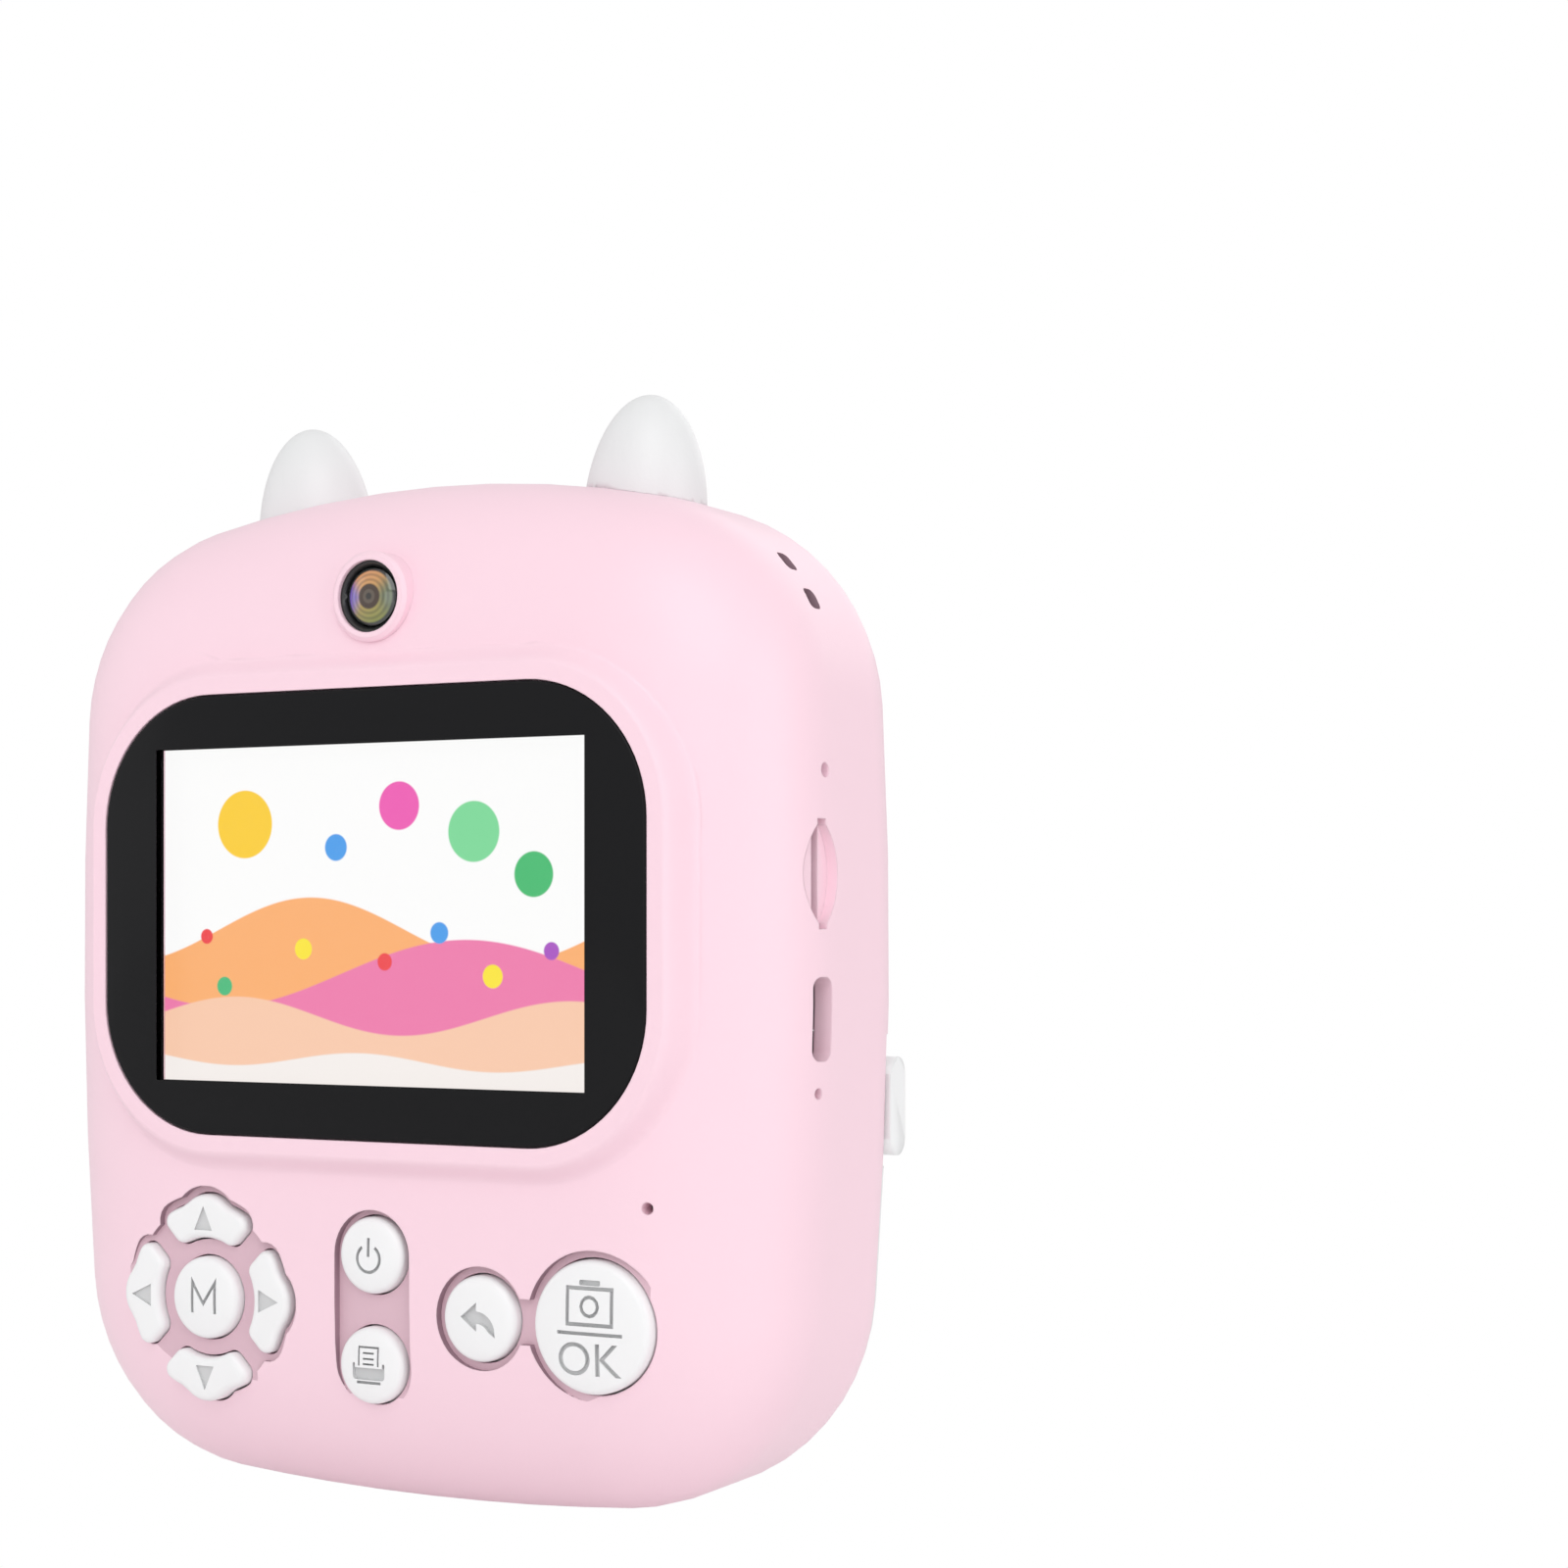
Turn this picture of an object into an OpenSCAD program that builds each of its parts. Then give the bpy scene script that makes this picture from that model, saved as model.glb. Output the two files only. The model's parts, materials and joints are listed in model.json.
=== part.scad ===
// Kids digital camera with a built-in thermal printer.
// +Z is up, the screen looks along -Y, the lens along +Y, +X is the user's right.
// Depths are counted from the screen face (0) to the lens face (body_d);
// placed() then moves the finished part so that its origin is the bottom centre.

/* [Body] */
// Width across the two sides
body_w = 93.4; // [90:0.1:98]
// Height from the resting flat to the crown
body_h = 108.2; // [105:0.1:113]
// Depth from the screen face to the lens face
body_d = 37.6; // [37:0.1:41]
// How far each side bows outwards
side_bow = 3.3; // [2.5:0.1:4.5]
// How far the crown bows upwards
top_bow = 8.5; // [7:0.1:10]
// How far the bottom bows downwards
bottom_bow = 3.9; // [3:0.1:5]
// Height at which the body is widest
widest_z = 58.3; // [55:0.1:62]
// Radius of the two upper corners
top_corner_r = 22.8; // [21:0.1:25]
// Radius of the two lower corners
bottom_corner_r = 22.8; // [21:0.1:25]
// Wall of the moulded shells
wall = 2; // [1.6:0.1:2.4]
// How deep the resting flat is cut into the bowed bottom
rest_cut = 0.4; // [0.2:0.05:0.4]
// How far the blend to the screen face reaches inwards
face_blend = 22; // [18:0.5:22]
// Depth of that blend along the side
face_blend_d = 14.4; // [12:0.1:15]
// How far the blend to the lens face reaches inwards
lens_blend = 18; // [15:0.5:20]
// Depth of that blend along the side
lens_blend_d = 13.4; // [11:0.1:14]
// Depth at which the two shells and the door part
seam = 27; // [26.5:0.1:27.5]

/* [Display] */
// Width of the lit picture
picture_w = 53.8; // [50:0.1:55]
// Height of the lit picture
picture_h = 35.4; // [33:0.1:37]
// Width of the glass window
window_w = 68; // [66:0.1:70]
// Height of the glass window
window_h = 46.8; // [45:0.1:48]
// Corner radius of the window
window_r = 14; // [11:0.5:16]
// Height of the middle of the display
display_z = 62.1; // [61:0.1:63]
// Thickness of the glass window
glass_t = 1.2; // [0.8:0.1:1.2]
// How far the plateau stands out of the screen face
plateau_h = 1.8; // [1.6:0.1:2.4]
// Flat border of the plateau round the glass
plateau_rim = 1.6; // [1:0.1:2.5]
// Width of the slope from the plateau to the face
plateau_slope = 2.3; // [1.5:0.1:3]

/* [Keys] */
// Radius of the menu key
menu_r = 4.4; // [4:0.1:4.8]
// Radius of the power and print keys
small_key_r = 4; // [3.6:0.1:4.2]
// Radius of the back key
back_r = 4.4; // [4:0.1:4.8]
// Radius of the shutter key
shutter_r = 6.7; // [6:0.1:7]
// Height of the middle of the key field
key_z = 21.1; // [21:0.1:22]
// Middle of the four-way pad, left of centre
pad_x = 21.7; // [21:0.1:22]
// Middle of the back key, right of centre
back_x = 13.4; // [13:0.1:14]
// Middle of the shutter key, right of centre
shutter_x = 26.6; // [26:0.1:27]
// Distance between the power key and the print key
key_pitch = 11.4; // [11:0.1:12]
// Depth of the recesses round the keys
recess_d = 0.9; // [0.6:0.1:1.1]
// How far the keys stand out of the screen face
key_proud = 0.3; // [0.1:0.1:0.6]
// Travel of every key
key_travel = 0.6; // [0.4:0.1:0.8]
// Gap between a key and its hole
key_gap = 0.2; // [0.15:0.05:0.3]

/* [Lenses] */
// Width of the white lens plate
plate_w = 30; // [28:0.1:31]
// Height of the white lens plate
plate_h = 40.6; // [39:0.1:42]
// Height of the middle of the lens plate
plate_z = 80.4; // [79:0.1:81]
// Height of the middle of the main lens
lens_z = 85.5; // [84:0.1:87]
// How far the barrel stands out of the lens face
barrel_h = 10.6; // [9:0.1:12]
// Radius of the barrel at its front
barrel_r = 11.3; // [11:0.1:12]
// Radius of the black bezel inside the barrel
bezel_r = 10; // [9.5:0.1:10.2]
// Radius of the main lens glass
main_lens_r = 3.3; // [3:0.1:3.6]
// Height of the middle of the small cap under the barrel
cap_z = 66.7; // [66:0.1:67.5]
// Radius of the small pink cap
cap_r = 3.75; // [3.5:0.05:4]
// Height of the selfie lens
selfie_z = 95; // [94:0.1:95.5]
// Outer radius of the ring round the selfie lens
selfie_ring_r = 4.7; // [4.5:0.1:5]
// Radius of the black ring of the selfie lens
selfie_r = 3.75; // [3.5:0.05:3.9]

/* [Ears] */
// Distance from the centre line to the tip of an ear
ear_x = 22.35; // [20:0.05:24]
// Height of the ear tips
ear_top = 117.2; // [116:0.1:121]
// Depth of the middle of the ears
ear_y = 19.3; // [16:0.1:20]

/* [Ports] */
// Depth of the middle of the side ports
port_y = 11.8; // [11.4:0.1:12]
// Height of the middle of the charging port
usb_z = 51.6; // [51:0.1:52.5]
// Length of the charging port cut-out
usb_l = 8.4; // [8.2:0.1:9]
// Width of the charging port cut-out
usb_w = 3.2; // [3:0.1:3.4]
// Height of the middle of the card slot
card_z = 66.1; // [65.5:0.1:67]
// Length of the card slot
card_l = 11; // [11:0.1:12]
// Width of the card slot
card_w = 1.4; // [1.2:0.1:1.6]
// Height of the status light
led_z = 76.5; // [76:0.1:78]
// Height of the reset hole
reset_z = 44.2; // [43.5:0.1:44.6]

/* [Speaker] */
// Distance of the speaker and of the matching dimples from the centre line
speaker_x = 24.4; // [23.5:0.1:25]
// Height of the speaker
speaker_z = 85.6; // [84:0.1:87]
// Radius of the ring of small sound holes
sound_ring_r = 3.2; // [3:0.1:3.6]

/* [Printer] */
// Height of the upper edge of the paper door
door_top = 49.4; // [49:0.1:50]
// Width of the paper
paper_w = 57; // [56:0.1:58]
// Radius of a full paper roll
roll_r = 12; // [10:0.1:12.2]
// Inner radius of the cardboard core
core_bore_r = 6; // [5:0.1:6.5]
// Depth of the roll axis
roll_y = 22.6; // [22.4:0.1:22.8]
// Height of the roll axis
roll_z = 19.5; // [19.3:0.1:20]
// Radius of the rubber platen roller
platen_r = 3.5; // [3.3:0.05:3.6]
// Depth of the platen axis
platen_y = 31.2; // [31:0.05:31.3]
// Height of the platen axis
platen_z = 44.6; // [44:0.1:45]
// Tooth size of the feed gears
gear_module = 0.38; // [0.36:0.01:0.39]
// Width of the teeth along the tear edge
tear_pitch = 1; // [0.8:0.05:1.5]
// Height of the teeth of the tear edge
tear_h = 0.8; // [0.5:0.05:0.9]

/* [Door] */
// Distance from the seam to the hinge axis
hinge_in = 2.2; // [2:0.05:2.4]
// Height of the hinge axis
hinge_z = 4; // [3.8:0.05:4.3]
// Radius of the hinge pins
hinge_pin_r = 1; // [0.8:0.05:1.1]
// Height of a side latch
latch_h = 10.4; // [9:0.1:11]
// Width of a side latch
latch_w = 3.6; // [3:0.1:3.8]
// Height of the middle of a side latch
latch_z = 42; // [41.5:0.1:42.4]
// Travel of a side latch
latch_travel = 1.2; // [0.8:0.1:1.3]

/* [Hidden] */

pink = "#fbdbe6";
white = "#f4f5f5";
dark = "#262628";

face_round = 2.37;      // exponent of the blend to the screen face
face_steps = 11;        // rings in the blend to the screen face
lens_steps = 9;         // rings in the blend to the lens face
corner_steps = 11;      // outline steps in each corner
side_steps = 4;         // outline steps in each side
crown_steps = 8;        // outline steps in the crown and in the bottom
gap = 0.3;              // clearance between pieces that move past each other
fit = 0.05;             // radial clearance of a running fit
big = 200;              // longer than any piece
face_y = plateau_h - (plateau_h + body_d + barrel_h) / 2;
face_inset = min(face_blend, min(top_corner_r, bottom_corner_r) - 0.6);

// ---- outline of the body: eight tangent arcs --------------------------------------------

function bow_r(chord, bow) = (chord * chord / 4 + bow * bow) / (2 * bow);
function ang(v) = atan2(v[1], v[0]);
// Point at distance a from p and b from q, on the left of the line from p to q (side = 1)
function meet(p, a, q, b, side) =
  let (d = norm(q - p), u = (q - p) / d, t = (a * a - b * b + d * d) / (2 * d), h = sqrt(a * a - t * t))
  p + t * u + side * h * [-u[1], u[0]];

side_r = bow_r(body_h + rest_cut, side_bow);
top_r = bow_r(body_w, top_bow);
bottom_r = bow_r(body_w, bottom_bow);
side_c = [body_w / 2 - side_r, widest_z];
top_c = [0, body_h - top_r];
bottom_c = [0, bottom_r - rest_cut];
upper_c = meet(side_c, side_r - top_corner_r, top_c, top_r - top_corner_r, 1);
lower_c = meet(side_c, side_r - bottom_corner_r, bottom_c, bottom_r - bottom_corner_r, -1);
upper_side_a = ang(upper_c - side_c);
upper_top_a = ang(upper_c - top_c);
lower_side_a = ang(lower_c - side_c);
lower_bottom_a = ang(lower_c - bottom_c);

// Arcs of the outline, anticlockwise: centre, radius, start angle, end angle, points
function arcs() = let (l = lower_c, u = upper_c, mx = [[-1, 0], [0, 1]]) [
  [l, bottom_corner_r, lower_bottom_a, lower_side_a, corner_steps],
  [side_c, side_r, lower_side_a, upper_side_a, side_steps],
  [u, top_corner_r, upper_side_a, upper_top_a, corner_steps],
  [top_c, top_r, upper_top_a, 180 - upper_top_a, crown_steps],
  [mx * u, top_corner_r, 180 - upper_top_a, 180 - upper_side_a, corner_steps],
  [mx * side_c, side_r, 180 - upper_side_a, 180 - lower_side_a, side_steps],
  [mx * l, bottom_corner_r, 180 - lower_side_a, 180 - lower_bottom_a, corner_steps],
  [bottom_c, bottom_r, 180 - lower_bottom_a, 360 + lower_bottom_a, crown_steps]
];

// The outline moved inwards by u
function outline(u) = [for (a = arcs()) for (i = [0:a[4] - 1])
  let (t = a[2] + (a[3] - a[2]) * i / a[4]) a[0] + (a[1] - u) * [cos(t), sin(t)]];

// Rings (inwards, depth) of the blend to the screen face and of the blend to the lens face
function face_rings(inset) = let (reach = face_inset - inset, depth = face_blend_d - inset)
  [for (i = [0:face_steps]) let (a = 90 * i / face_steps)
    [inset + reach * (1 - pow(sin(a), 2 / face_round)), inset + depth * (1 - pow(cos(a), 2 / face_round))]];
function lens_ring(inset, a) = [inset + (lens_blend - inset) * (1 - sin(a)),
  body_d - inset - (lens_blend_d - inset) * (1 - cos(a))];
// Angle of the lens blend at depth y; it starts at 90
function lens_angle(inset, y) = acos(1 - (body_d - inset - y) / (lens_blend_d - inset));
function lens_rings(inset, from = 90, to = 0, n = lens_steps) = [for (i = [0:n]) lens_ring(inset, from + (to - from) * i / n)];

// A closed solid through a list of rings of points; the first and the last ring are flat
module loft(rings) {
  n = len(rings[0]);
  polyhedron(
    points = [for (r = rings) each r],
    faces = concat(
      [[for (i = [n - 1:-1:0]) i]],
      [for (k = [0:len(rings) - 2]) for (i = [0:n - 1]) let (j = (i + 1) % n)
        each [[k * n + i, (k + 1) * n + j, (k + 1) * n + i], [k * n + i, k * n + j, (k + 1) * n + j]]],
      [[for (i = [0:n - 1]) (len(rings) - 1) * n + i]]));
}

// Rings of the outline, each given as (inwards, depth)
module through(rings) { loft([for (r = rings) [for (p = outline(r[0])) [p[0], r[1], p[1]]]]); }

// The outer form moved inwards by inset: all of it, its screen half, or its lens half
module body_form(inset = 0) { through(concat(face_rings(inset), lens_rings(inset))); }
module screen_half(inset = 0, over = 0) {
  through(concat(face_rings(inset), lens_rings(inset, 90, lens_angle(inset, seam + over), 3)));
}
module lens_half(inset = 0, over = 0) { through(lens_rings(inset, lens_angle(inset, seam - over))); }

// ---- small helpers ----------------------------------------------------------------------

module placed() { translate([0, face_y, 0]) children(); }

// A flat drawing in X and Z, as a slab from depth a to depth b
module slab(a, b) { translate([0, b, 0]) rotate([90, 0, 0]) linear_extrude(b - a) children(); }

module block(x, y, z) { translate([x[0], y[0], z[0]]) cube([x[1] - x[0], y[1] - y[0], z[1] - z[0]]); }

// A round bar along the depth, and one along X
module bar_y(x, z, r, a, b, fn = 64) { translate([x, b, z]) rotate([90, 0, 0]) cylinder(r = r, h = b - a, $fn = fn); }
module bar_x(y, z, r, a, b, fn = 64) { translate([a, y, z]) rotate([0, 90, 0]) cylinder(r = r, h = b - a, $fn = fn); }

module round_rect(w, h, r) {
  square([w - 2 * r, h], center = true);
  square([w, h - 2 * r], center = true);
  for (x = [-1, 1], y = [-1, 1]) translate([x * (w / 2 - r), y * (h / 2 - r)]) circle(r = r, $fn = 64);
}

// A turned piece about a depth axis; points are (radius, depth)
module turned_y(x, z, points, fn = 96) {
  translate([x, 0, z]) rotate([90, 0, 0])
    rotate_extrude($fn = fn) polygon([for (p = points) [p[0], -p[1]]]);
}

// ---- key outlines, each grown by g ------------------------------------------------------

function arc(c, r, a, b, n) = [for (i = [0:n]) let (t = a + (b - a) * i / n) c + r * [cos(t), sin(t)]];

petal_in = menu_r + 2;      // inner and outer radius of a petal
petal_out = 10.2;
petal_split = 2;            // apex of the lines that part two petals, above the pad's middle
petal_round = 1.2;          // radius of the four corners
petal_bump = 7.5;           // middle and radius of the bump on a petal's outer edge
petal_bump_r = 3.6;
petal_mid = (petal_in + petal_out) / 2;

// Corner centre of a petal at radius r from the pad's middle
function petal_corner(r) = let (q = petal_split + sqrt(2) * petal_round, x = (sqrt(2 * r * r - q * q) - q) / 2)
  [x, x + q];

module petal(g = 0) {
  mx = [[-1, 0], [0, 1]];
  outer = petal_corner(petal_out - petal_round);
  inner = petal_corner(petal_in + petal_round);
  join = meet([0, 0], petal_out + g, [0, petal_bump], petal_bump_r + g, -1);
  half = concat(
    arc(inner, petal_round + g, ang(inner) + 180, 315, 5),
    arc(outer, petal_round + g, -45, ang(outer), 6),
    arc([0, 0], petal_out + g, ang(outer) + 3, ang(join), 3),
    arc([0, petal_bump], petal_bump_r + g, ang(join - [0, petal_bump]) + 8, 82, 4));
  inside = arc([0, 0], petal_in - g, 180 - ang(inner), ang(inner), 8);
  polygon(concat(half, [for (i = [len(half) - 1:-1:0]) mx * half[i]], [for (i = [1:7]) inside[i]]));
}

// Middles of the round keys and their radii: menu, power, print, back, shutter
key_at = [[-pad_x, key_z], [0, key_z + key_pitch / 2], [0, key_z - key_pitch / 2],
  [back_x, key_z], [shutter_x, key_z]];
key_r = [menu_r, small_key_r, small_key_r, back_r, shutter_r];
petal_turn = [0, 180, 90, -90];
margin = 0.9;           // visible floor of a recess round its keys
cap_floor = wall + 0.6; // inner side of the thickened key field
flange = 0.7;           // how far a key's flange reaches beyond its cap
flange_t = 0.7;

module key_recesses() {
  translate(key_at[0]) {
    circle(r = petal_out - 0.4, $fn = 96);
    for (a = petal_turn) rotate(a) petal(margin);
  }
  r = small_key_r + 0.7;
  for (i = [1, 2]) translate(key_at[i]) circle(r = r, $fn = 96);
  translate([0, key_z]) square([2 * r, key_pitch], center = true);
  translate(key_at[3]) circle(r = back_r + margin, $fn = 96);
  translate(key_at[4]) circle(r = shutter_r + margin, $fn = 96);
  translate([(back_x + shutter_x) / 2, key_z]) square([shutter_x - back_x, 4.6], center = true);
}

// ---- shells -----------------------------------------------------------------------------

// The raised border of the display: a soft slope swept round a rounded rectangle
module plateau() {
  w = window_w / 2 - window_r;
  h = window_h / 2 - window_r;
  r = window_r + plateau_rim;
  slope = [for (i = [0:8]) let (t = i / 8)
    [r + plateau_slope * t, plateau_h * (1 - (1 + cos(180 * t)) / 2)]];
  edge = concat([[0, 0]], slope, [[r + plateau_slope, plateau_h + 1.9], [0, plateau_h + 1.9]]);
  translate([0, -plateau_h, display_z]) {
    for (q = [0:3]) translate([(q == 0 || q == 3 ? w : -w), 0, (q < 2 ? h : -h)])
      rotate([90, 0, 0]) rotate([0, 0, 90 * q])
        rotate_extrude(angle = 90, $fn = 96) polygon([for (p = edge) [p[0], -p[1]]]);
    for (s = [0, 1]) mirror([s, 0, 0]) translate([w, 0, -h]) linear_extrude(2 * h) polygon(edge);
    for (s = [0, 1]) mirror([0, 0, s]) translate([-w, 0, h]) rotate([90, 0, 90]) linear_extrude(2 * w)
      polygon([for (p = edge) [p[1], p[0]]]);
    block([-w, w], [0, plateau_h + 1.9], [-h, h]);
  }
}

lcd_w = picture_w + 7;
lcd_h = picture_h + 6.6;
lcd_t = 2.3;
lcd_front = glass_t - plateau_h + 0.7;
board_y = port_y + usb_w / 2;   // screen side of the main board
board_t = 1.2;
post_r = 2.2;
board_holes = [[-36, 53], [36, 80.5], [-30, 90], [29, 91]];
bay_holes = [[-38.5, 26], [38.5, 26], [-38.5, 36.5], [38.5, 36.5]];
bay_tab_y = 12;
key_posts = [[-8.2, 29.6], [-8.2, 12.9], [8, 30.2], [8, 12.9]];
key_board_y = cap_floor + gap + flange_t + key_travel + 0.1 + 1 + 1.6;
speaker_r = 7.5;
ear_hole_r = 1.5;
lug_x = [20.3, 22.8];
hinge_y = seam + hinge_in;
knuckle_r = 1.8;
sweep_r = norm([hinge_in, hinge_z]) + gap;

// Posts that grow out of the middle of the wall, with their pilot holes
module posts() {
  groups = [[board_holes, board_y, post_r], [bay_holes, bay_tab_y, post_r], [key_posts, key_board_y, 1.5]];
  intersection() {
    screen_half(wall / 2);
    for (g = groups) for (at = g[0]) bar_y(at[0], at[1], g[2], 0, g[1], 32);
  }
}
module post_pilots() {
  for (g = [[board_holes, board_y], [bay_holes, bay_tab_y], [key_posts, key_board_y]])
    for (at = g[0]) bar_y(at[0], at[1], 0.8, g[1] - 4, g[1] + 1, 24);
}

module sound_holes(side, a, b) {
  bar_y(side * speaker_x, speaker_z, 0.95, a, b, 48);
  for (i = [0:7])
    bar_y(side * speaker_x + sound_ring_r * cos(45 * i), speaker_z + sound_ring_r * sin(45 * i), 0.65, a, b, 32);
}

// Two small holes in each upper corner, for the wrist strap
strap_angles = [41.8, 29.5];
strap_y = 16;
module strap_holes() {
  for (side = [0, 1]) mirror([side, 0, 0]) for (a = strap_angles)
    translate([upper_c[0], strap_y, upper_c[1]]) rotate([0, 90 - a, 0])
      translate([0, 0, top_corner_r - 5]) linear_extrude(10) round_rect(2.4, 2.2, 0.7);
}

module side_ports() {
  // charging port
  translate([body_w / 2 - 6, port_y, usb_z]) rotate([0, 90, 0]) linear_extrude(10) round_rect(usb_l, usb_w, 1.2);
  // card slot with a lens-shaped thumb notch in front of it
  block([body_w / 2 - 6, body_w / 2 + 1], [port_y - card_w / 2, port_y + card_w / 2],
    [card_z - card_l / 2, card_z + card_l / 2]);
  notch_r = (card_l * card_l / 4 + 2.8 * 2.8) / (2 * 2.8);
  intersection() {
    bar_x(port_y - notch_r + 2.8, card_z, notch_r, body_w / 2 - 1.3, body_w / 2 + 1, 180);
    bar_x(port_y + notch_r - 2.8, card_z, notch_r, body_w / 2 - 1.3, body_w / 2 + 1, 180);
  }
  bar_x(port_y + 0.9, led_z, 0.75, body_w / 2 - 6, body_w / 2 + 1, 32);
  bar_x(port_y - 0.5, reset_z, 0.55, body_w / 2 - 6, body_w / 2 + 1, 32);
}

mic_at = [32.6, 33.1];

module screen_shell() {
  color(pink) placed() difference() {
    union() {
      difference() {
        screen_half();
        block([-big, big], [-1, big], [-5, 0]);
        difference() {
          screen_half(wall, 1);
          // the wall is thicker behind the keys
          slab(0, cap_floor) translate([0.6, key_z]) round_rect(70, 26, 9);
        }
      }
      plateau();
      turned_y(0, selfie_z, [[0, -0.7], [selfie_ring_r - 0.4, -0.7], [selfie_ring_r, -0.3], [selfie_ring_r, 6], [0, 6]]);
      posts();
      hinge_lugs();
    }
    post_pilots();
    // display: glass pocket, picture aperture, panel pocket
    translate([0, 0, display_z]) {
      slab(-plateau_h - 1, glass_t - plateau_h) round_rect(window_w, window_h, window_r);
      slab(-1, lcd_front + 0.1) square([picture_w + 0.8, picture_h + 0.8], center = true);
      slab(lcd_front, 4) square([lcd_w + 0.4, lcd_h + 0.4], center = true);
    }
    bar_y(0, selfie_z, selfie_r, -2, 8, 96);
    slab(-1, recess_d) key_recesses();
    slab(-1, 4) {
      translate(key_at[0]) for (a = petal_turn) rotate(a) petal(key_gap);
      for (i = [0:4]) translate(key_at[i]) circle(r = key_r[i] + key_gap, $fn = 96);
    }
    // room for the flanges of the keys
    slab(cap_floor, key_board_y) {
      translate(key_at[0]) for (a = petal_turn) rotate(a) petal(flange + 0.2);
      for (i = [0:4]) translate(key_at[i]) circle(r = key_r[i] + flange + 0.2, $fn = 96);
    }
    bar_y(mic_at[0], mic_at[1], 0.6, -1, 6, 32);
    side_ports();
    strap_holes();
    // room for the lip of the door as it swings
    for (side = [-1, 1]) bar_x(hinge_y, hinge_z, sweep_r, side > 0 ? lug_x[1] : -34, side > 0 ? 34 : -lug_x[1], 96);
    bar_x(hinge_y, hinge_z, sweep_r, -lug_x[0], lug_x[0], 96);
    for (side = [0, 1]) mirror([side, 0, 0]) {
      bar_x(hinge_y, hinge_z, hinge_pin_r, lug_x[0] - 1, lug_x[1] - 0.5);
      block([lug_x[0] - 1, lug_x[1] + 1], [seam - 1.6, seam + 1], [-1, 2.1]);
    }
  }
}

// A flat drawing in Y and Z, as a bar from a to b along X
module across(a, b) { translate([a, 0, 0]) rotate([90, 0, 90]) linear_extrude(b - a) children(); }

// Two lugs on the screen shell that carry the hinge pins
module hinge_lugs() {
  for (side = [0, 1]) mirror([side, 0, 0]) {
    bar_x(hinge_y, hinge_z, knuckle_r, lug_x[0], lug_x[1]);
    across(lug_x[0], lug_x[1]) polygon([[hinge_y - 9, 1.5], [hinge_y - 4, 1.5], [hinge_y - 2, hinge_z - knuckle_r],
      [hinge_y, hinge_z - knuckle_r], [hinge_y, hinge_z + knuckle_r], [hinge_y - 3, hinge_z + knuckle_r],
      [hinge_y - 9, hinge_z]]);
  }
}

// The white lens plate lies in this pocket; the hole behind it lets the barrel's tail in
module plate_outline(g = 0) {
  translate([0, plate_z]) {
    square([plate_w + 2 * g, plate_h - plate_w], center = true);
    for (s = [-1, 1]) translate([0, s * (plate_h - plate_w) / 2]) circle(r = plate_w / 2 + g, $fn = 128);
  }
}
plate_back = body_d - 4.6;

module lens_shell() {
  color(pink) placed() {
    difference() {
      lens_half();
      block([-big, big], [-1, big], [-5, door_top + 0.2]);
      difference() {
        lens_half(wall, 1);
        // a collar behind the lens plate and a lip along the tear edge
        slab(plate_back - 1, body_d) plate_outline(1.4);
        block([-paper_w / 2 - 2, paper_w / 2 + 2], [body_d - wall - 1.6, body_d], [door_top - 1, door_top + 3]);
      }
      slab(plate_back, body_d + 1) plate_outline(0.12);
      slab(plate_back - 2, body_d) plate_outline(-1.6);
      sound_holes(-1, body_d - wall - 1, body_d + 1);
      sound_holes(1, body_d - 0.6, body_d + 1);
      // paper slot above the door
      block([-paper_w / 2, paper_w / 2], [seam - 1, body_d + 1], [door_top - 1, door_top + 0.25 + tear_h]);
    }
    tear_edge();
  }
}

// Teeth along the lower edge of the lens shell, pointing down at the paper
module tear_edge() {
  n = floor(paper_w / tear_pitch);
  top = door_top + 0.25 + tear_h;
  slab(body_d - wall - 1.6, body_d) polygon(concat(
    [[-n * tear_pitch / 2, top + 0.2]],
    [for (i = [0:n - 1]) each [[(i - n / 2) * tear_pitch, top], [(i + 0.5 - n / 2) * tear_pitch, top - tear_h]]],
    [[n * tear_pitch / 2, top], [n * tear_pitch / 2, top + 0.2]]));
}

// ---- ears -------------------------------------------------------------------------------

// Half width and half depth of an ear where it is widest, and how far below the tip that is
ear_size = [6.85, 5.7, 13];
ear_tilt = 4;

module ear() {
  difference() {
    translate([ear_x - ear_size[2] * sin(ear_tilt), ear_y, ear_top - ear_size[2]]) rotate([0, ear_tilt, 0])
      scale(ear_size) sphere(r = 1, $fn = 56);
    body_form();
    block([0, big], [-1, big], [0, body_h - 16]);
  }
}

module ear_left() { color(white) placed() mirror([1, 0, 0]) ear(); }
module ear_right() { color(white) placed() ear(); }

// ---- display ----------------------------------------------------------------------------

module display_window() {
  color(dark) placed() translate([0, 0, display_z])
    slab(-plateau_h, glass_t - plateau_h) round_rect(window_w - 0.2, window_h - 0.2, window_r - 0.1);
}

module lcd_panel() {
  color("#e8eef2") placed() translate([0, 0, display_z]) {
    slab(lcd_front, lcd_front + lcd_t) square([lcd_w, lcd_h], center = true);
  }
}

bracket_y = lcd_front + lcd_t;
bracket_t = 1.5;
module lcd_bracket() {
  color("#c9ccd0") placed() translate([0, 0, display_z]) difference() {
    slab(bracket_y, bracket_y + bracket_t) round_rect(lcd_w - 0.6, lcd_h - 0.6, 2);
    slab(bracket_y - 1, bracket_y + bracket_t - 0.6) for (x = [-1, 1]) translate([x * lcd_w / 4, 0])
      round_rect(lcd_w / 2 - 8, lcd_h - 10, 2);
  }
}

// ---- selfie camera ----------------------------------------------------------------------

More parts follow.
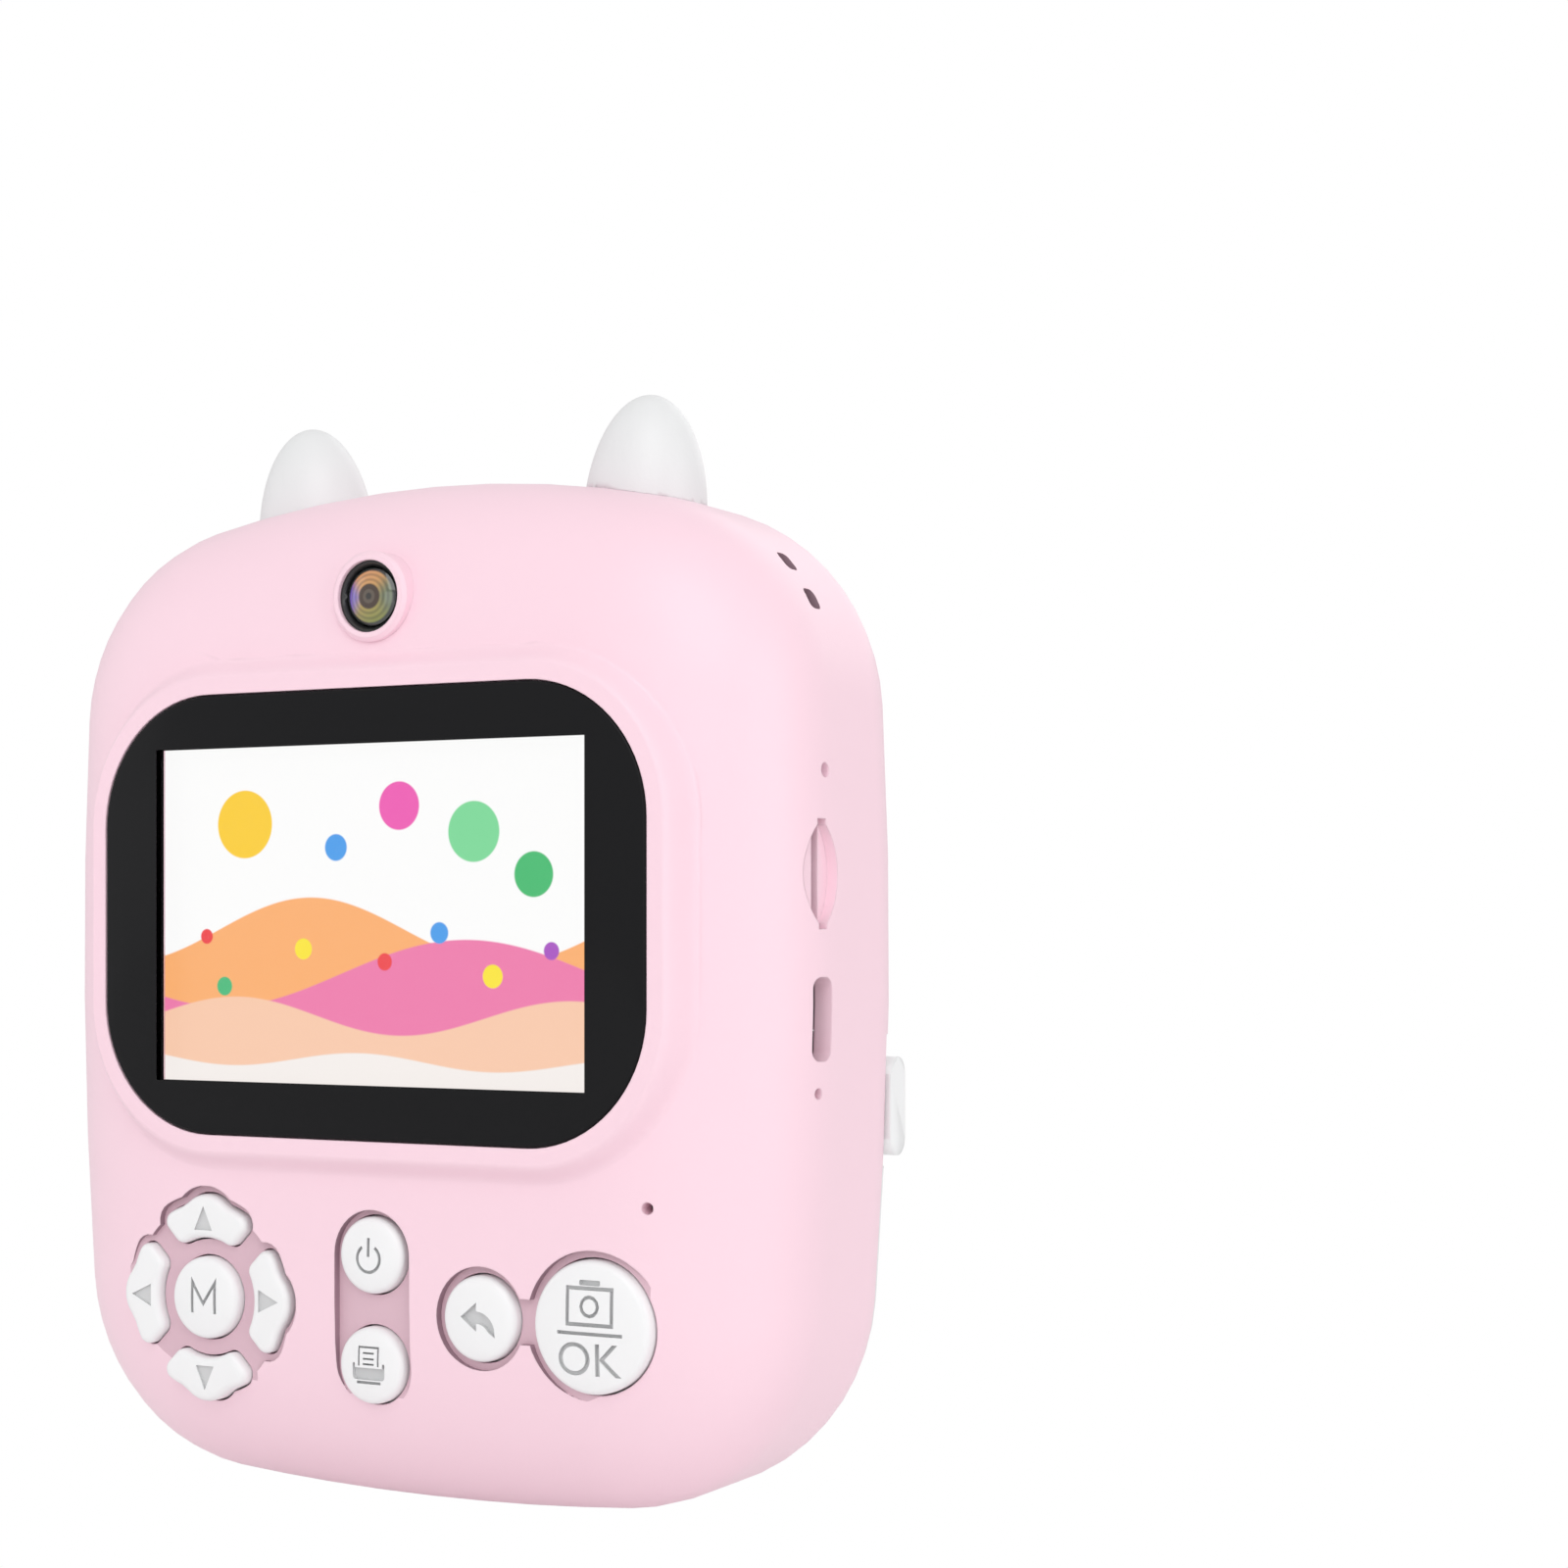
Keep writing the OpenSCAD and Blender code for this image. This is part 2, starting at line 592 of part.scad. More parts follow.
module selfie_bezel() {
  color(dark) placed() turned_y(0, selfie_z, [
    [selfie_r - 0.05, -0.3], [selfie_r - 0.05, 4], [3.15, 4], [3.15, 0.8], [3.05, 0.7], [3.05, 0.4], [3.2, 0],
    [3.5, -0.3]]);
}

module selfie_lens() {
  color("#3a3444") placed() turned_y(0, selfie_z,
    [[0, -0.05], [0.9, 0], [1.6, 0.13], [2.2, 0.35], [2.7, 0.61], [3, 0.82], [3.1, 0.85], [3.1, 2.4], [0, 2.4]]);
}

module selfie_module() {
  color("#2d5a45") placed() {
    bar_y(0, selfie_z, 2.6, 2.4, 6);
    block([-4.2, 4.2], [6, 8], [selfie_z - 4.2, selfie_z + 4.2]);
  }
}

// ---- lens group -------------------------------------------------------------------------

tail_r = 7;             // round hole through the lens plate

module lens_plate() {
  color(white) placed() difference() {
    intersection() {
      slab(plate_back, body_d + 1) plate_outline();
      body_form();
    }
    bar_y(0, lens_z, tail_r, plate_back - 1, body_d + 1);
    // seat and groove of the small cap
    bar_y(0, cap_z, cap_r + 0.1, body_d - 1.8, body_d + 1);
    turned_y(0, cap_z, [[4.75, body_d - 0.3], [5, body_d - 0.3], [5, body_d + 1], [4.75, body_d + 1]]);
  }
}

module lens_barrel() {
  front = body_d + barrel_h;
  foot = 1.3;
  seat = front - 0.5;   // front of the bezel
  color(white) placed() union() {
    turned_y(0, lens_z, concat(
      [[tail_r - 0.1, plate_back - 2], [tail_r - 0.1, body_d + 0.02], [barrel_r + foot, body_d + 0.02]],
      [for (i = [0:6]) let (a = 15 * i)
        [barrel_r + foot * (1 - sin(a)), body_d + 0.02 + 2.6 * (1 - cos(a)) + 0.01]],
      [for (i = [0:5]) let (a = 18 * i) [barrel_r - 0.7 * (1 - cos(a)), front - 0.7 * (1 - sin(a))]],
      [[bezel_r + 0.05, front], [bezel_r + 0.05, seat - 1.2], [bezel_r - 0.6, seat - 1.2],
        [bezel_r - 0.6, body_d + 2], [4.5, body_d + 2], [4.5, plate_back - 2]]));
    // the index mark at the bottom of the bezel
    intersection() {
      bar_y(0, lens_z - bezel_r, 0.6, seat - 0.5, seat + 0.15, 32);
      bar_y(0, lens_z, bezel_r + 0.3, seat - 1, front);
    }
  }
}

module lens_bezel() {
  seat = body_d + barrel_h - 0.5;
  color(dark) placed() difference() {
    turned_y(0, lens_z, [[bezel_r, seat], [bezel_r, seat - 1.2], [2.9, seat - 1.2], [2.9, seat - 0.9],
      [3.3, seat - 0.5], [main_lens_r + 0.3, seat]]);
    bar_y(0, lens_z - bezel_r, 0.65, seat - 0.55, seat + 1, 32);
  }
}

module main_lens() {
  seat = body_d + barrel_h - 1.7;
  color("#40342c") placed() turned_y(0, lens_z, [
    [0, seat + 1], [0.9, seat + 0.93], [1.7, seat + 0.7], [2.3, seat + 0.35], [2.8, seat], [2.8, seat - 0.8],
    [0, seat - 0.8]]);
}

module camera_module() {
  seat = body_d + barrel_h - 2.5;
  color("#2d5a45") placed() {
    bar_y(0, lens_z, 4.4, plate_back - 2.5, seat);
    block([-5.5, 5.5], [plate_back - 5, plate_back - 2.5], [lens_z - 5.5, lens_z + 5.5]);
  }
}

module lens_cap() {
  color(pink) placed() difference() {
    turned_y(0, cap_z, [[0, body_d - 1.8], [cap_r, body_d - 1.8], [cap_r, body_d], [cap_r - 0.3, body_d + 0.25],
      [0, body_d + 0.3]]);
    bar_y(0, cap_z, 0.45, body_d - 1, body_d + 1, 32);
  }
}

// ---- keys -------------------------------------------------------------------------------

key_back = cap_floor + gap + flange_t;

// A cap with stepped edges, and the flange that keeps it in the shell
module petal_key(turn) {
  edge = [[0.5, 0], [0.2, 0.2], [0, 0.45]];
  color(white) placed() translate([key_at[0][0], 0, key_at[0][1]]) rotate([0, -turn, 0]) {
    for (e = edge) slab(e[1] - key_proud, key_back - flange_t) petal(-e[0]);
    slab(key_back - flange_t, key_back) petal(flange);
  }
}

module round_key(i) {
  r = key_r[i];
  color(white) placed() turned_y(key_at[i][0], key_at[i][1], concat(
    [[0, -key_proud - 0.35], [r * 0.5, -key_proud - 0.3]],
    [for (j = [0:5]) let (a = 90 - 18 * j) [r - 0.8 + 0.8 * cos(a), -key_proud + 0.65 - 0.8 * sin(a)]],
    [[r, key_back - flange_t], [r + flange - 0.1, key_back - flange_t], [r + flange - 0.1, key_back], [0, key_back]]));
}

module up_key() { petal_key(0); }
module down_key() { petal_key(180); }
module left_key() { petal_key(90); }
module right_key() { petal_key(-90); }
module menu_key() { round_key(0); }
module power_key() { round_key(1); }
module print_key() { round_key(2); }
module back_key() { round_key(3); }
module shutter_key() { round_key(4); }

key_field = [66, 22.4];
membrane_y = key_back + key_travel + 0.1;

module key_membrane() {
  color("#d8d8da") placed() difference() {
    slab(membrane_y, membrane_y + 1) translate([0.6, key_z + 0.6]) round_rect(key_field[0], key_field[1], 9);
    for (at = key_posts) bar_y(at[0], at[1], 1.7, membrane_y - 1, membrane_y + 2, 32);
  }
}

// Green board with one tact switch behind each key
module key_board() {
  color("#2d6b4a") placed() {
    difference() {
      slab(key_board_y, key_board_y + 1) translate([0.6, key_z + 0.6]) union() {
        round_rect(key_field[0], key_field[1], 6);
        translate([28, 7]) square([10, 12], center = true);
      }
      for (at = key_posts) bar_y(at[0], at[1], 0.9, key_board_y - 1, key_board_y + 2, 32);
    }
    for (at = concat(key_at, [for (a = petal_turn) key_at[0] + petal_mid * [-sin(a), cos(a)]]))
      block([at[0] - 2, at[0] + 2], [membrane_y + 1, key_board_y + 0.4], [at[1] - 2, at[1] + 2]);
  }
}

// ---- electronics ------------------------------------------------------------------------

module main_board() {
  color("#2d6b4a") placed() difference() {
    slab(board_y, board_y + board_t) polygon([[-40, 42.5], [41, 42.5], [42.5, 50], [42, 84], [30, 97.5],
      [-30, 97.5], [-41, 84], [-41.5, 50]]);
    for (at = board_holes) bar_y(at[0], at[1], 1, board_y - 1, board_y + 3, 32);
  }
  color("#1c1c20") placed() {
    block([-6, 6], [board_y + board_t, board_y + board_t + 1], [60, 72]);
    block([10, 19], [board_y + board_t, board_y + board_t + 1], [74, 81]);
  }
}

module small_screw(at, y, r, l) {
  turned_y(at[0], at[1], [[0, y - l], [r, y - l], [r, y], [1.9, y], [1.9, y + 0.8], [1.5, y + 1.1], [0, y + 1.1]], 32);
}

module board_screws() {
  color("#9a9ca0") placed() for (at = board_holes) small_screw(at, board_y + board_t, 0.8, 4.5);
}

module battery() {
  y = bracket_y + bracket_t;
  color("#8f9ba8") placed() translate([0, 0, display_z])
    slab(y, y + 7.4) round_rect(50, 34, 1.5);
}

module speaker() {
  front = body_d - wall - 0.9;
  color(dark) placed() turned_y(-speaker_x, speaker_z, [
    [0, front - 4], [5, front - 4], [5, front - 3], [speaker_r - 0.6, front - 2.4], [speaker_r, front - 1.8],
    [speaker_r, front], [speaker_r - 1.4, front], [speaker_r - 2.4, front - 0.8], [0, front - 0.8]]);
}

module microphone() {
  color("#b9bcc0") placed() bar_y(mic_at[0], mic_at[1], 2, key_board_y - 2.4, key_board_y);
}

module status_led() {
  color("#eef6ff") placed() {
    block([35, 38], [board_y - 2.4, board_y], [led_z - 1.6, led_z + 1.6]);
    bar_x(port_y + 0.9, led_z, 0.65, 38, body_w / 2 - 1.6, 32);
  }
}

module reset_switch() {
  color("#c2c4c8") placed() {
    block([36, 40], [board_y - 3.4, board_y], [reset_z - 1.7, reset_z + 1.7]);
    bar_x(port_y - 0.5, reset_z, 0.45, 40, 41.5, 32);
  }
}

socket_x = body_w / 2 - wall - 1.5;   // mouth of the sockets

module usb_socket() {
  out = socket_x;
  color("#b4b7bb") placed() difference() {
    translate([out - 7.4, port_y, usb_z]) rotate([0, 90, 0]) linear_extrude(7.4) round_rect(usb_l + 0.5, usb_w, 1.2);
    translate([out - 6, port_y, usb_z]) rotate([0, 90, 0]) linear_extrude(7) round_rect(usb_l - 0.2, usb_w - 0.7, 0.9);
  }
  color(dark) placed() block([out - 6.2, out - 0.8], [port_y - 0.35, port_y + 0.35], [usb_z - 3, usb_z + 3]);
}

module card_socket() {
  out = socket_x;
  color("#b4b7bb") placed() difference() {
    block([out - 14, out], [port_y - 1.1, board_y], [card_z - 7.3, card_z + 7.3]);
    block([out - 13, out + 1], [port_y - 0.5, port_y + 0.5], [card_z - 5.6, card_z + 5.6]);
  }
}

// ---- paper bay and printer --------------------------------------------------------------

bay_r = roll_r + 0.9;
bay_t = 1.2;
cheek_in = paper_w / 2 + 0.8;
cheek_t = 1.5;
// Where the door's arms start beside the paper, and their thickness
arm_x = cheek_in + 0.6;
arm_t = 1.6;
hub_r = core_bore_r - fit;

// The trough that the roll drops into, with a hub on each cheek
module paper_bay() {
  color("#e9e9ea") placed() {
    difference() {
      union() {
        difference() {
          bar_x(roll_y, roll_z, bay_r + bay_t, -cheek_in - cheek_t, cheek_in + cheek_t, 128);
          bar_x(roll_y, roll_z, bay_r, -cheek_in, cheek_in, 128);
        }
        for (s = [-1, 1]) {
          block(s > 0 ? [cheek_in, bay_holes[1][0] + 2.4] : [bay_holes[0][0] - 2.4, -cheek_in],
            [bay_tab_y, bay_tab_y + 1.5], [bay_holes[1][1] - 2.4, bay_holes[3][1] + 2.4]);
          bar_x(roll_y, roll_z, hub_r, s > 0 ? cheek_in - 3 : -cheek_in - 0.5, s > 0 ? cheek_in + 0.5 : 3 - cheek_in, 96);
          // upright that carries the printer frame
          block(s > 0 ? [cheek_in, cheek_in + cheek_t] : [-cheek_in - cheek_t, -cheek_in],
            [bay_tab_y, seam - gap], [roll_z, frame_z]);
        }
      }
      // open towards the door and upwards
      block([-cheek_in, cheek_in], [roll_y - 8, roll_y + 30], [roll_z + 8, roll_z + 40]);
      block([-cheek_in, cheek_in], [roll_y + 2, roll_y + 30], [roll_z - 30, roll_z + 40]);
      block([-big, big], [seam - gap, big], [-10, big]);
      bar_x(hinge_y, hinge_z, sweep_r + gap, -big, big, 96);
      for (at = bay_holes) bar_y(at[0], at[1], 1, bay_tab_y - 1, bay_tab_y + 3, 32);
    }
    for (s = [-1, 1])
      bar_x(roll_y, roll_z, hub_r, s > 0 ? cheek_in - 3 : -cheek_in - 0.5, s > 0 ? cheek_in + 0.5 : 3 - cheek_in, 96);
  }
}

module bay_screws() {
  color("#9a9ca0") placed() for (at = bay_holes) small_screw(at, bay_tab_y + 1.5, 0.8, 5);
}

frame_z = 38;
frame_top = 62;
head_front = platen_y - platen_r - 0.1;  // paper runs in this gap
head_t = 1.6;
plate_t = 1.4;
motor_at = [22.5, 55.5];
motor_r = 6.4;
teeth = [12, 24, 16];   // motor pinion, idler, platen gear
function pitch_r(n) = gear_module * n / 2;
platen_at = [platen_y, platen_z];
idler_at = meet(platen_at, pitch_r(teeth[2]) + pitch_r(teeth[1]) + 0.05,
  motor_at, pitch_r(teeth[1]) + pitch_r(teeth[0]) + 0.05, 1);
gear_x = -arm_x - arm_t - gap;
gear_w = 2.2;

// Bent steel frame: back plate, two side plates, and the floor under the motor
module printer_frame() {
  side_x = [-cheek_in - cheek_t, -cheek_in];
  color("#a8abb0") placed() difference() {
    union() {
      block([-cheek_in, cheek_in], [head_front - head_t - plate_t, head_front - head_t], [frame_z + 1.5, door_top - 0.5]);
      for (s = [0, 1]) mirror([s, 0, 0])
        block(side_x, [16, head_front - head_t], [frame_z, s == 0 ? frame_top : door_top + 1]);
    }
    bar_x(motor_at[0], motor_at[1], 2.2, -big, 0, 48);
    bar_x(idler_at[0], idler_at[1], 1, -big, 0, 48);
  }
}

module print_head() {
  color("#4a4a4e") placed() {
    block([-paper_w / 2, paper_w / 2], [head_front - head_t, head_front - 0.3], [platen_z - 5, platen_z + 4]);
    block([-paper_w / 2 + 3, paper_w / 2 - 3], [head_front - 0.3, head_front], [platen_z - 1, platen_z + 1]);
  }
}

module feed_motor() {
  color("#b9bcc0") placed() {
    bar_x(motor_at[0], motor_at[1], motor_r, -cheek_in, -cheek_in + 13, 96);
    bar_x(motor_at[0], motor_at[1], 2, -cheek_in - cheek_t, -cheek_in, 48);
  }
}

// Spur gear about X with straight-sided teeth; one tooth points at angle phase (from +Y to +Z)
module gear(at, n, phase, bore) {
  r = pitch_r(n);
  add = 0.85 * gear_module;
  ded = 1.15 * gear_module;
  t = 360 / n;
  translate([gear_x - gear_w, at[0], at[1]]) rotate([90, 0, 90]) linear_extrude(gear_w) difference() {
    polygon([for (i = [0:n - 1]) let (a = phase + i * t) each [
      (r - ded) * [cos(a - 0.33 * t), sin(a - 0.33 * t)], (r + add) * [cos(a - 0.11 * t), sin(a - 0.11 * t)],
      (r + add) * [cos(a + 0.11 * t), sin(a + 0.11 * t)], (r - ded) * [cos(a + 0.33 * t), sin(a + 0.33 * t)]]]);
    circle(r = bore, $fn = 48);
  }
}

idler_phase = ang(motor_at - idler_at) + 180 / teeth[1];
pinion_phase = ang(idler_at - motor_at);
// the idler tooth nearest the platen decides how the platen gear is turned
to_platen = ang(platen_at - idler_at);
idler_pitch = 360 / teeth[1];
idler_offset = (to_platen - idler_phase) / idler_pitch;
platen_phase = to_platen + 180 + (idler_offset - floor(idler_offset) + 0.5) * 360 / teeth[2];

module motor_pinion() {
  color("#e6e2d6") placed() {
    gear(motor_at, teeth[0], pinion_phase, 0.5);
    bar_x(motor_at[0], motor_at[1], 0.9, gear_x - gear_w, -cheek_in - cheek_t - gap, 32);
  }
}

module idler_gear() {
  color("#e6e2d6") placed() gear(idler_at, teeth[1], idler_phase, 0.9 + fit);
}

module idler_pin() {
  color("#9a9ca0") placed() {
    bar_x(idler_at[0], idler_at[1], 0.9, gear_x - gear_w - 0.4, -cheek_in, 48);
    bar_x(idler_at[0], idler_at[1], 1.6, gear_x - gear_w - 0.8, gear_x - gear_w - 0.3, 48);
  }
}

// ---- paper door -------------------------------------------------------------------------

shaft_r = 1.5;
latch_y = seam + 0.45 + latch_w / 2;
latch_floor = body_w / 2 - 2.4;
latch_out = body_w / 2 - 0.3;

module latch_window(g) {
  translate([0, latch_y, latch_z]) rotate([90, 0, 90]) linear_extrude(big)
    round_rect(latch_w + 2 * g, latch_h + 2 * g, latch_w / 2 + g - 0.01);
}

module paper_door() {
  color(white) placed() difference() {
    union() {
      difference() {
        lens_half();
        lens_half(wall, 1);
      }
      for (side = [0, 1]) mirror([side, 0, 0]) {
        // box behind the latch
        block([latch_floor - 8, half_w(latch_z) - 2.4], [seam, latch_y + 1.3], latch_box_z);
        block([latch_floor - 8, half_w(latch_z) - 4.2], [seam, latch_y + latch_w / 2 + 1.4], latch_box_z);
        // arm that carries the platen
        bar_x(platen_y, platen_z, 2.6, arm_x, arm_x + arm_t);
        block([arm_x, arm_x + arm_t], [platen_y, body_d - wall + 0.2], [platen_z - 6, platen_z + 2.6]);
        // hinge knuckle
        bar_x(hinge_y, hinge_z, knuckle_r, knuckle_x[0], knuckle_x[1]);
        across(knuckle_x[0], knuckle_x[1]) polygon([[hinge_y - 1, 1.9], [hinge_y + 0.6, 2.2],
          [hinge_y + 3, 5], [hinge_y + 3, 6.2], [hinge_y, hinge_z + 1]]);
      }
    }
    block([-big, big], [-1, seam + 0.15], [-5, big]);
    block([-big, big], [-1, big], [door_top, big]);
    block([-big, big], [-1, big], [-5, 0]);
    door_grooves();
    for (side = [0, 1]) mirror([side, 0, 0]) {
      // scoop and guide of the latch
      block([latch_floor, big], [seam - 1, latch_y + latch_w / 2 + 0.6], [latch_z - latch_h / 2 - 1.2, big]);
      translate([latch_floor - 6.9, 0, 0]) latch_window(0.2);
      bar_x(platen_y, platen_z, shaft_r + fit, arm_x - 1, arm_x + 3);
      // notch for the hinge lug, and the bore of the pin
      block([lug_x[0] - gap, lug_x[1] + gap], [seam - 1, hinge_y + knuckle_r + gap], [-1, hinge_z + knuckle_r + gap]);
      bar_x(hinge_y, hinge_z, hinge_pin_r + fit, knuckle_x[0] - 0.2, lug_x[1]);
    }
  }
}

knuckle_x = [lug_x[0] - gap - 6, lug_x[0] - gap];
latch_box_z = [latch_z - latch_h / 2 - 1.4, door_top];
function half_w(z) = side_c[0] + sqrt(side_r * side_r - pow(z - widest_z, 2));

// Three grooves across the top of the door
module door_grooves() {
  core = lens_rings(0.5);
  w = half_w(door_top - 3);
  difference() {
    for (i = [0:2]) block([4.7 - body_w / 2, body_w / 2 - 4.7], [seam + 1, big],
      [door_top - 2 - 1.95 * i, door_top - 1 - 1.95 * i]);
    translate([0, 0, door_top - 8]) linear_extrude(10) polygon(concat(
      [[w, seam]], [for (r = core) [w - r[0], r[1]]],
      [for (i = [len(core) - 1:-1:0]) [core[i][0] - w, core[i][1]]], [[-w, seam]]));
  }
}

module hinge_pins() {
  color("#9a9ca0") placed() for (side = [0, 1]) mirror([side, 0, 0])
    bar_x(hinge_y, hinge_z, hinge_pin_r, knuckle_x[0] + 0.5, lug_x[1] - 0.5, 48);
}

module platen_shaft() {
  color("#9a9ca0") placed() {
    bar_x(platen_y, platen_z, shaft_r, gear_x - gear_w, arm_x + 2.2, 64);
  }
}

module platen_roller() {
  color("#3a3a3d") placed() difference() {
    bar_x(platen_y, platen_z, platen_r, -cheek_in + 0.2, cheek_in - 0.2, 96);
    bar_x(platen_y, platen_z, shaft_r, -cheek_in - 1, cheek_in + 1, 64);
  }
}

module platen_gear() {
  color("#e6e2d6") placed() gear(platen_at, teeth[2], platen_phase, shaft_r);
}

module latch() {
  inner = latch_floor - 4;
  intersection() {
    translate([inner, 0, 0]) latch_window(0);
    block([inner, latch_out], [0, big], [0, big]);
  }
}
module latch_left() { color(white) placed() mirror([1, 0, 0]) latch(); }
module latch_right() { color(white) placed() latch(); }

module latch_springs() {
  color("#9a9ca0") placed() for (side = [0, 1]) mirror([side, 0, 0]) for (dz = [-3, 3])
    difference() {
      bar_x(latch_y, latch_z + dz, 1.2, latch_floor - 6.9, latch_floor - 4 - latch_travel - 0.05, 32);
      bar_x(latch_y, latch_z + dz, 0.8, latch_floor - 8, latch_floor, 32);
    }
}

// ---- paper ------------------------------------------------------------------------------

module roll_core() {
  color("#c9ab84") placed() difference() {
    bar_x(roll_y, roll_z, core_bore_r + 0.8, -paper_w / 2, paper_w / 2, 96);
    bar_x(roll_y, roll_z, core_bore_r, -paper_w / 2 - 1, paper_w / 2 + 1, 96);
  }
}

module paper_roll() {
  color("#fafaf7") placed() difference() {
    bar_x(roll_y, roll_z, roll_r, -paper_w / 2, paper_w / 2, 128);
    bar_x(roll_y, roll_z, core_bore_r + 0.8, -paper_w / 2 - 1, paper_w / 2 + 1, 96);
  }
}

screen_shell();
lens_shell();
ear_left();
ear_right();
display_window();
lcd_panel();
lcd_bracket();
selfie_bezel();
selfie_lens();
selfie_module();
lens_plate();
lens_barrel();
lens_bezel();
main_lens();
camera_module();
lens_cap();
up_key();
down_key();
left_key();
right_key();
menu_key();
power_key();
print_key();
back_key();
shutter_key();
key_membrane();
key_board();
main_board();
board_screws();
battery();
speaker();
microphone();
status_led();
reset_switch();
usb_socket();
card_socket();
paper_bay();
bay_screws();
printer_frame();
print_head();
feed_motor();
motor_pinion();
idler_gear();
idler_pin();
paper_door();
hinge_pins();
platen_shaft();
platen_roller();
platen_gear();
latch_left();
latch_right();
latch_springs();
roll_core();
paper_roll();
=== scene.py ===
import json
from math import atan2, cos, degrees, hypot, pi, radians, sin, sqrt

import bmesh
import bpy
import numpy as np
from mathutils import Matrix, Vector
from mathutils.bvhtree import BVHTree

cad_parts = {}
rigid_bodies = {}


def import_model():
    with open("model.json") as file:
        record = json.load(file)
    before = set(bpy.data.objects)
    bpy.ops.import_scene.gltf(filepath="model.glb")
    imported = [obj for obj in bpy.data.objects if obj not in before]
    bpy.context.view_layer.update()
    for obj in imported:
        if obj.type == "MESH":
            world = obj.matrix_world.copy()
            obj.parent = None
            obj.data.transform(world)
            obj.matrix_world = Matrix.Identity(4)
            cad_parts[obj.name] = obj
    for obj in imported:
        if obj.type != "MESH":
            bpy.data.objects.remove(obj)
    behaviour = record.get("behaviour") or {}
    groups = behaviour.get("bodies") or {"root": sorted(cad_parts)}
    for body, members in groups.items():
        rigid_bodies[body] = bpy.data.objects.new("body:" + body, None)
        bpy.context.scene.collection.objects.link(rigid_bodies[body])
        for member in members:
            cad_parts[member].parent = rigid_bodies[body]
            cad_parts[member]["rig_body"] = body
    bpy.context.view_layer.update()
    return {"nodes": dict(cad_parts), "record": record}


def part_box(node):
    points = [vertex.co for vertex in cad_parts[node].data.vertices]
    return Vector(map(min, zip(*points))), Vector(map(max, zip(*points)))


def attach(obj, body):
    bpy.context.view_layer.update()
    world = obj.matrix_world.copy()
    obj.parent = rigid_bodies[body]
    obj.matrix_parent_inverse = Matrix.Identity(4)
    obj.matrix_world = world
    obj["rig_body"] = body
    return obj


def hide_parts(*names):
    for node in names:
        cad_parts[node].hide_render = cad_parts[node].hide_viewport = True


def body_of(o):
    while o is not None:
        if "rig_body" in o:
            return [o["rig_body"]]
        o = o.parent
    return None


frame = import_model()
MM = 0.001

# ---- Camera -----------------------------------------------------------------------------
# The photograph looks at the screen side and at the side with the ports, level, from the
# height of the display. The points are in its frame, 1568 pixels on the long side.
W = H = 1568
LONG_SIDE = max(W, H)
LENS, SENSOR = 63.4, 36.0
EYE = Vector((169.66, -257.12, 60.69)) * MM
TURN = radians(27.455)
SHIFT_Y = 0.0919

camera_data = bpy.data.cameras.new("camera")
camera_data.sensor_fit = "AUTO"
camera_data.sensor_width = SENSOR
camera_data.lens = LENS
camera_data.shift_y = SHIFT_Y
camera_data.clip_start = 0.01
camera = bpy.data.objects.new("camera", camera_data)
camera.location = EYE
camera.rotation_euler = (pi / 2, 0, TURN)
bpy.context.scene.collection.objects.link(camera)
bpy.context.scene.camera = camera

POINTS = {
    "left": (85, None), "right": (905, None), "top": (None, 395), "bottom": (None, 1508),
    "picture_corner": (164, 751), "picture_foot": (591, 1093), "selfie_lens": (370, 596),
    "legend_m": (203, 1298), "legend_up": (203, 1218), "legend_power": (368, 1256),
    "legend_print": (368, 1366), "legend_return": (477, 1320), "legend_camera": (589, 1307),
    "legend_ok": (589, 1360), "microphone": (644, 1209), "status_light": (825, 769),
    "charging_port": (823, 1019), "card_slot": (824, 874), "side_latch": (898, 1106),
}


def ray_to(point):
    """Start and direction of the ray through an image point, in the row frame."""
    x, y = point
    local = Vector((x - W / 2 + camera_data.shift_x * LONG_SIDE,
                    H / 2 - y + camera_data.shift_y * LONG_SIDE, -LONG_SIDE * LENS / SENSOR))
    bpy.context.view_layer.update()
    return camera.matrix_world.translation, (camera.matrix_world.to_3x3() @ local).normalized()


# ---- Studio -----------------------------------------------------------------------------
# A white table and a white surround with five soft lamps: a main one above the screen side,
# weaker ones at the left, at the right, low in front and behind. None belongs to the object.


class Val:
    """A number or a socket in a material, on which plain arithmetic adds Math nodes."""

    def __init__(self, finish, socket):
        self.finish, self.socket = finish, socket

    def math(self, operation, *values):
        return self.finish.node("ShaderNodeMath", {"operation": operation}, *values)["Value"]

    def __add__(self, other):
        return self.math("ADD", self, other)

    def __radd__(self, other):
        return self.math("ADD", other, self)

    def __sub__(self, other):
        return self.math("SUBTRACT", self, other)

    def __rsub__(self, other):
        return self.math("SUBTRACT", other, self)

    def __mul__(self, other):
        return self.math("MULTIPLY", self, other)

    def __rmul__(self, other):
        return self.math("MULTIPLY", other, self)

    def __abs__(self):
        return self.math("ABSOLUTE", self)

    def sqrt(self):
        return self.math("SQRT", self)

    def sin(self):
        return self.math("SINE", self)

    def least(self, other):
        return self.math("MINIMUM", self, other)

    def step(self, edge, soft):
        """0 below the edge and 1 above it, over a soft band."""
        return self.finish.node("ShaderNodeMapRange", {"interpolation_type": "SMOOTHSTEP"},
                                self, edge - soft, edge + soft, 0.0, 1.0)["Result"]


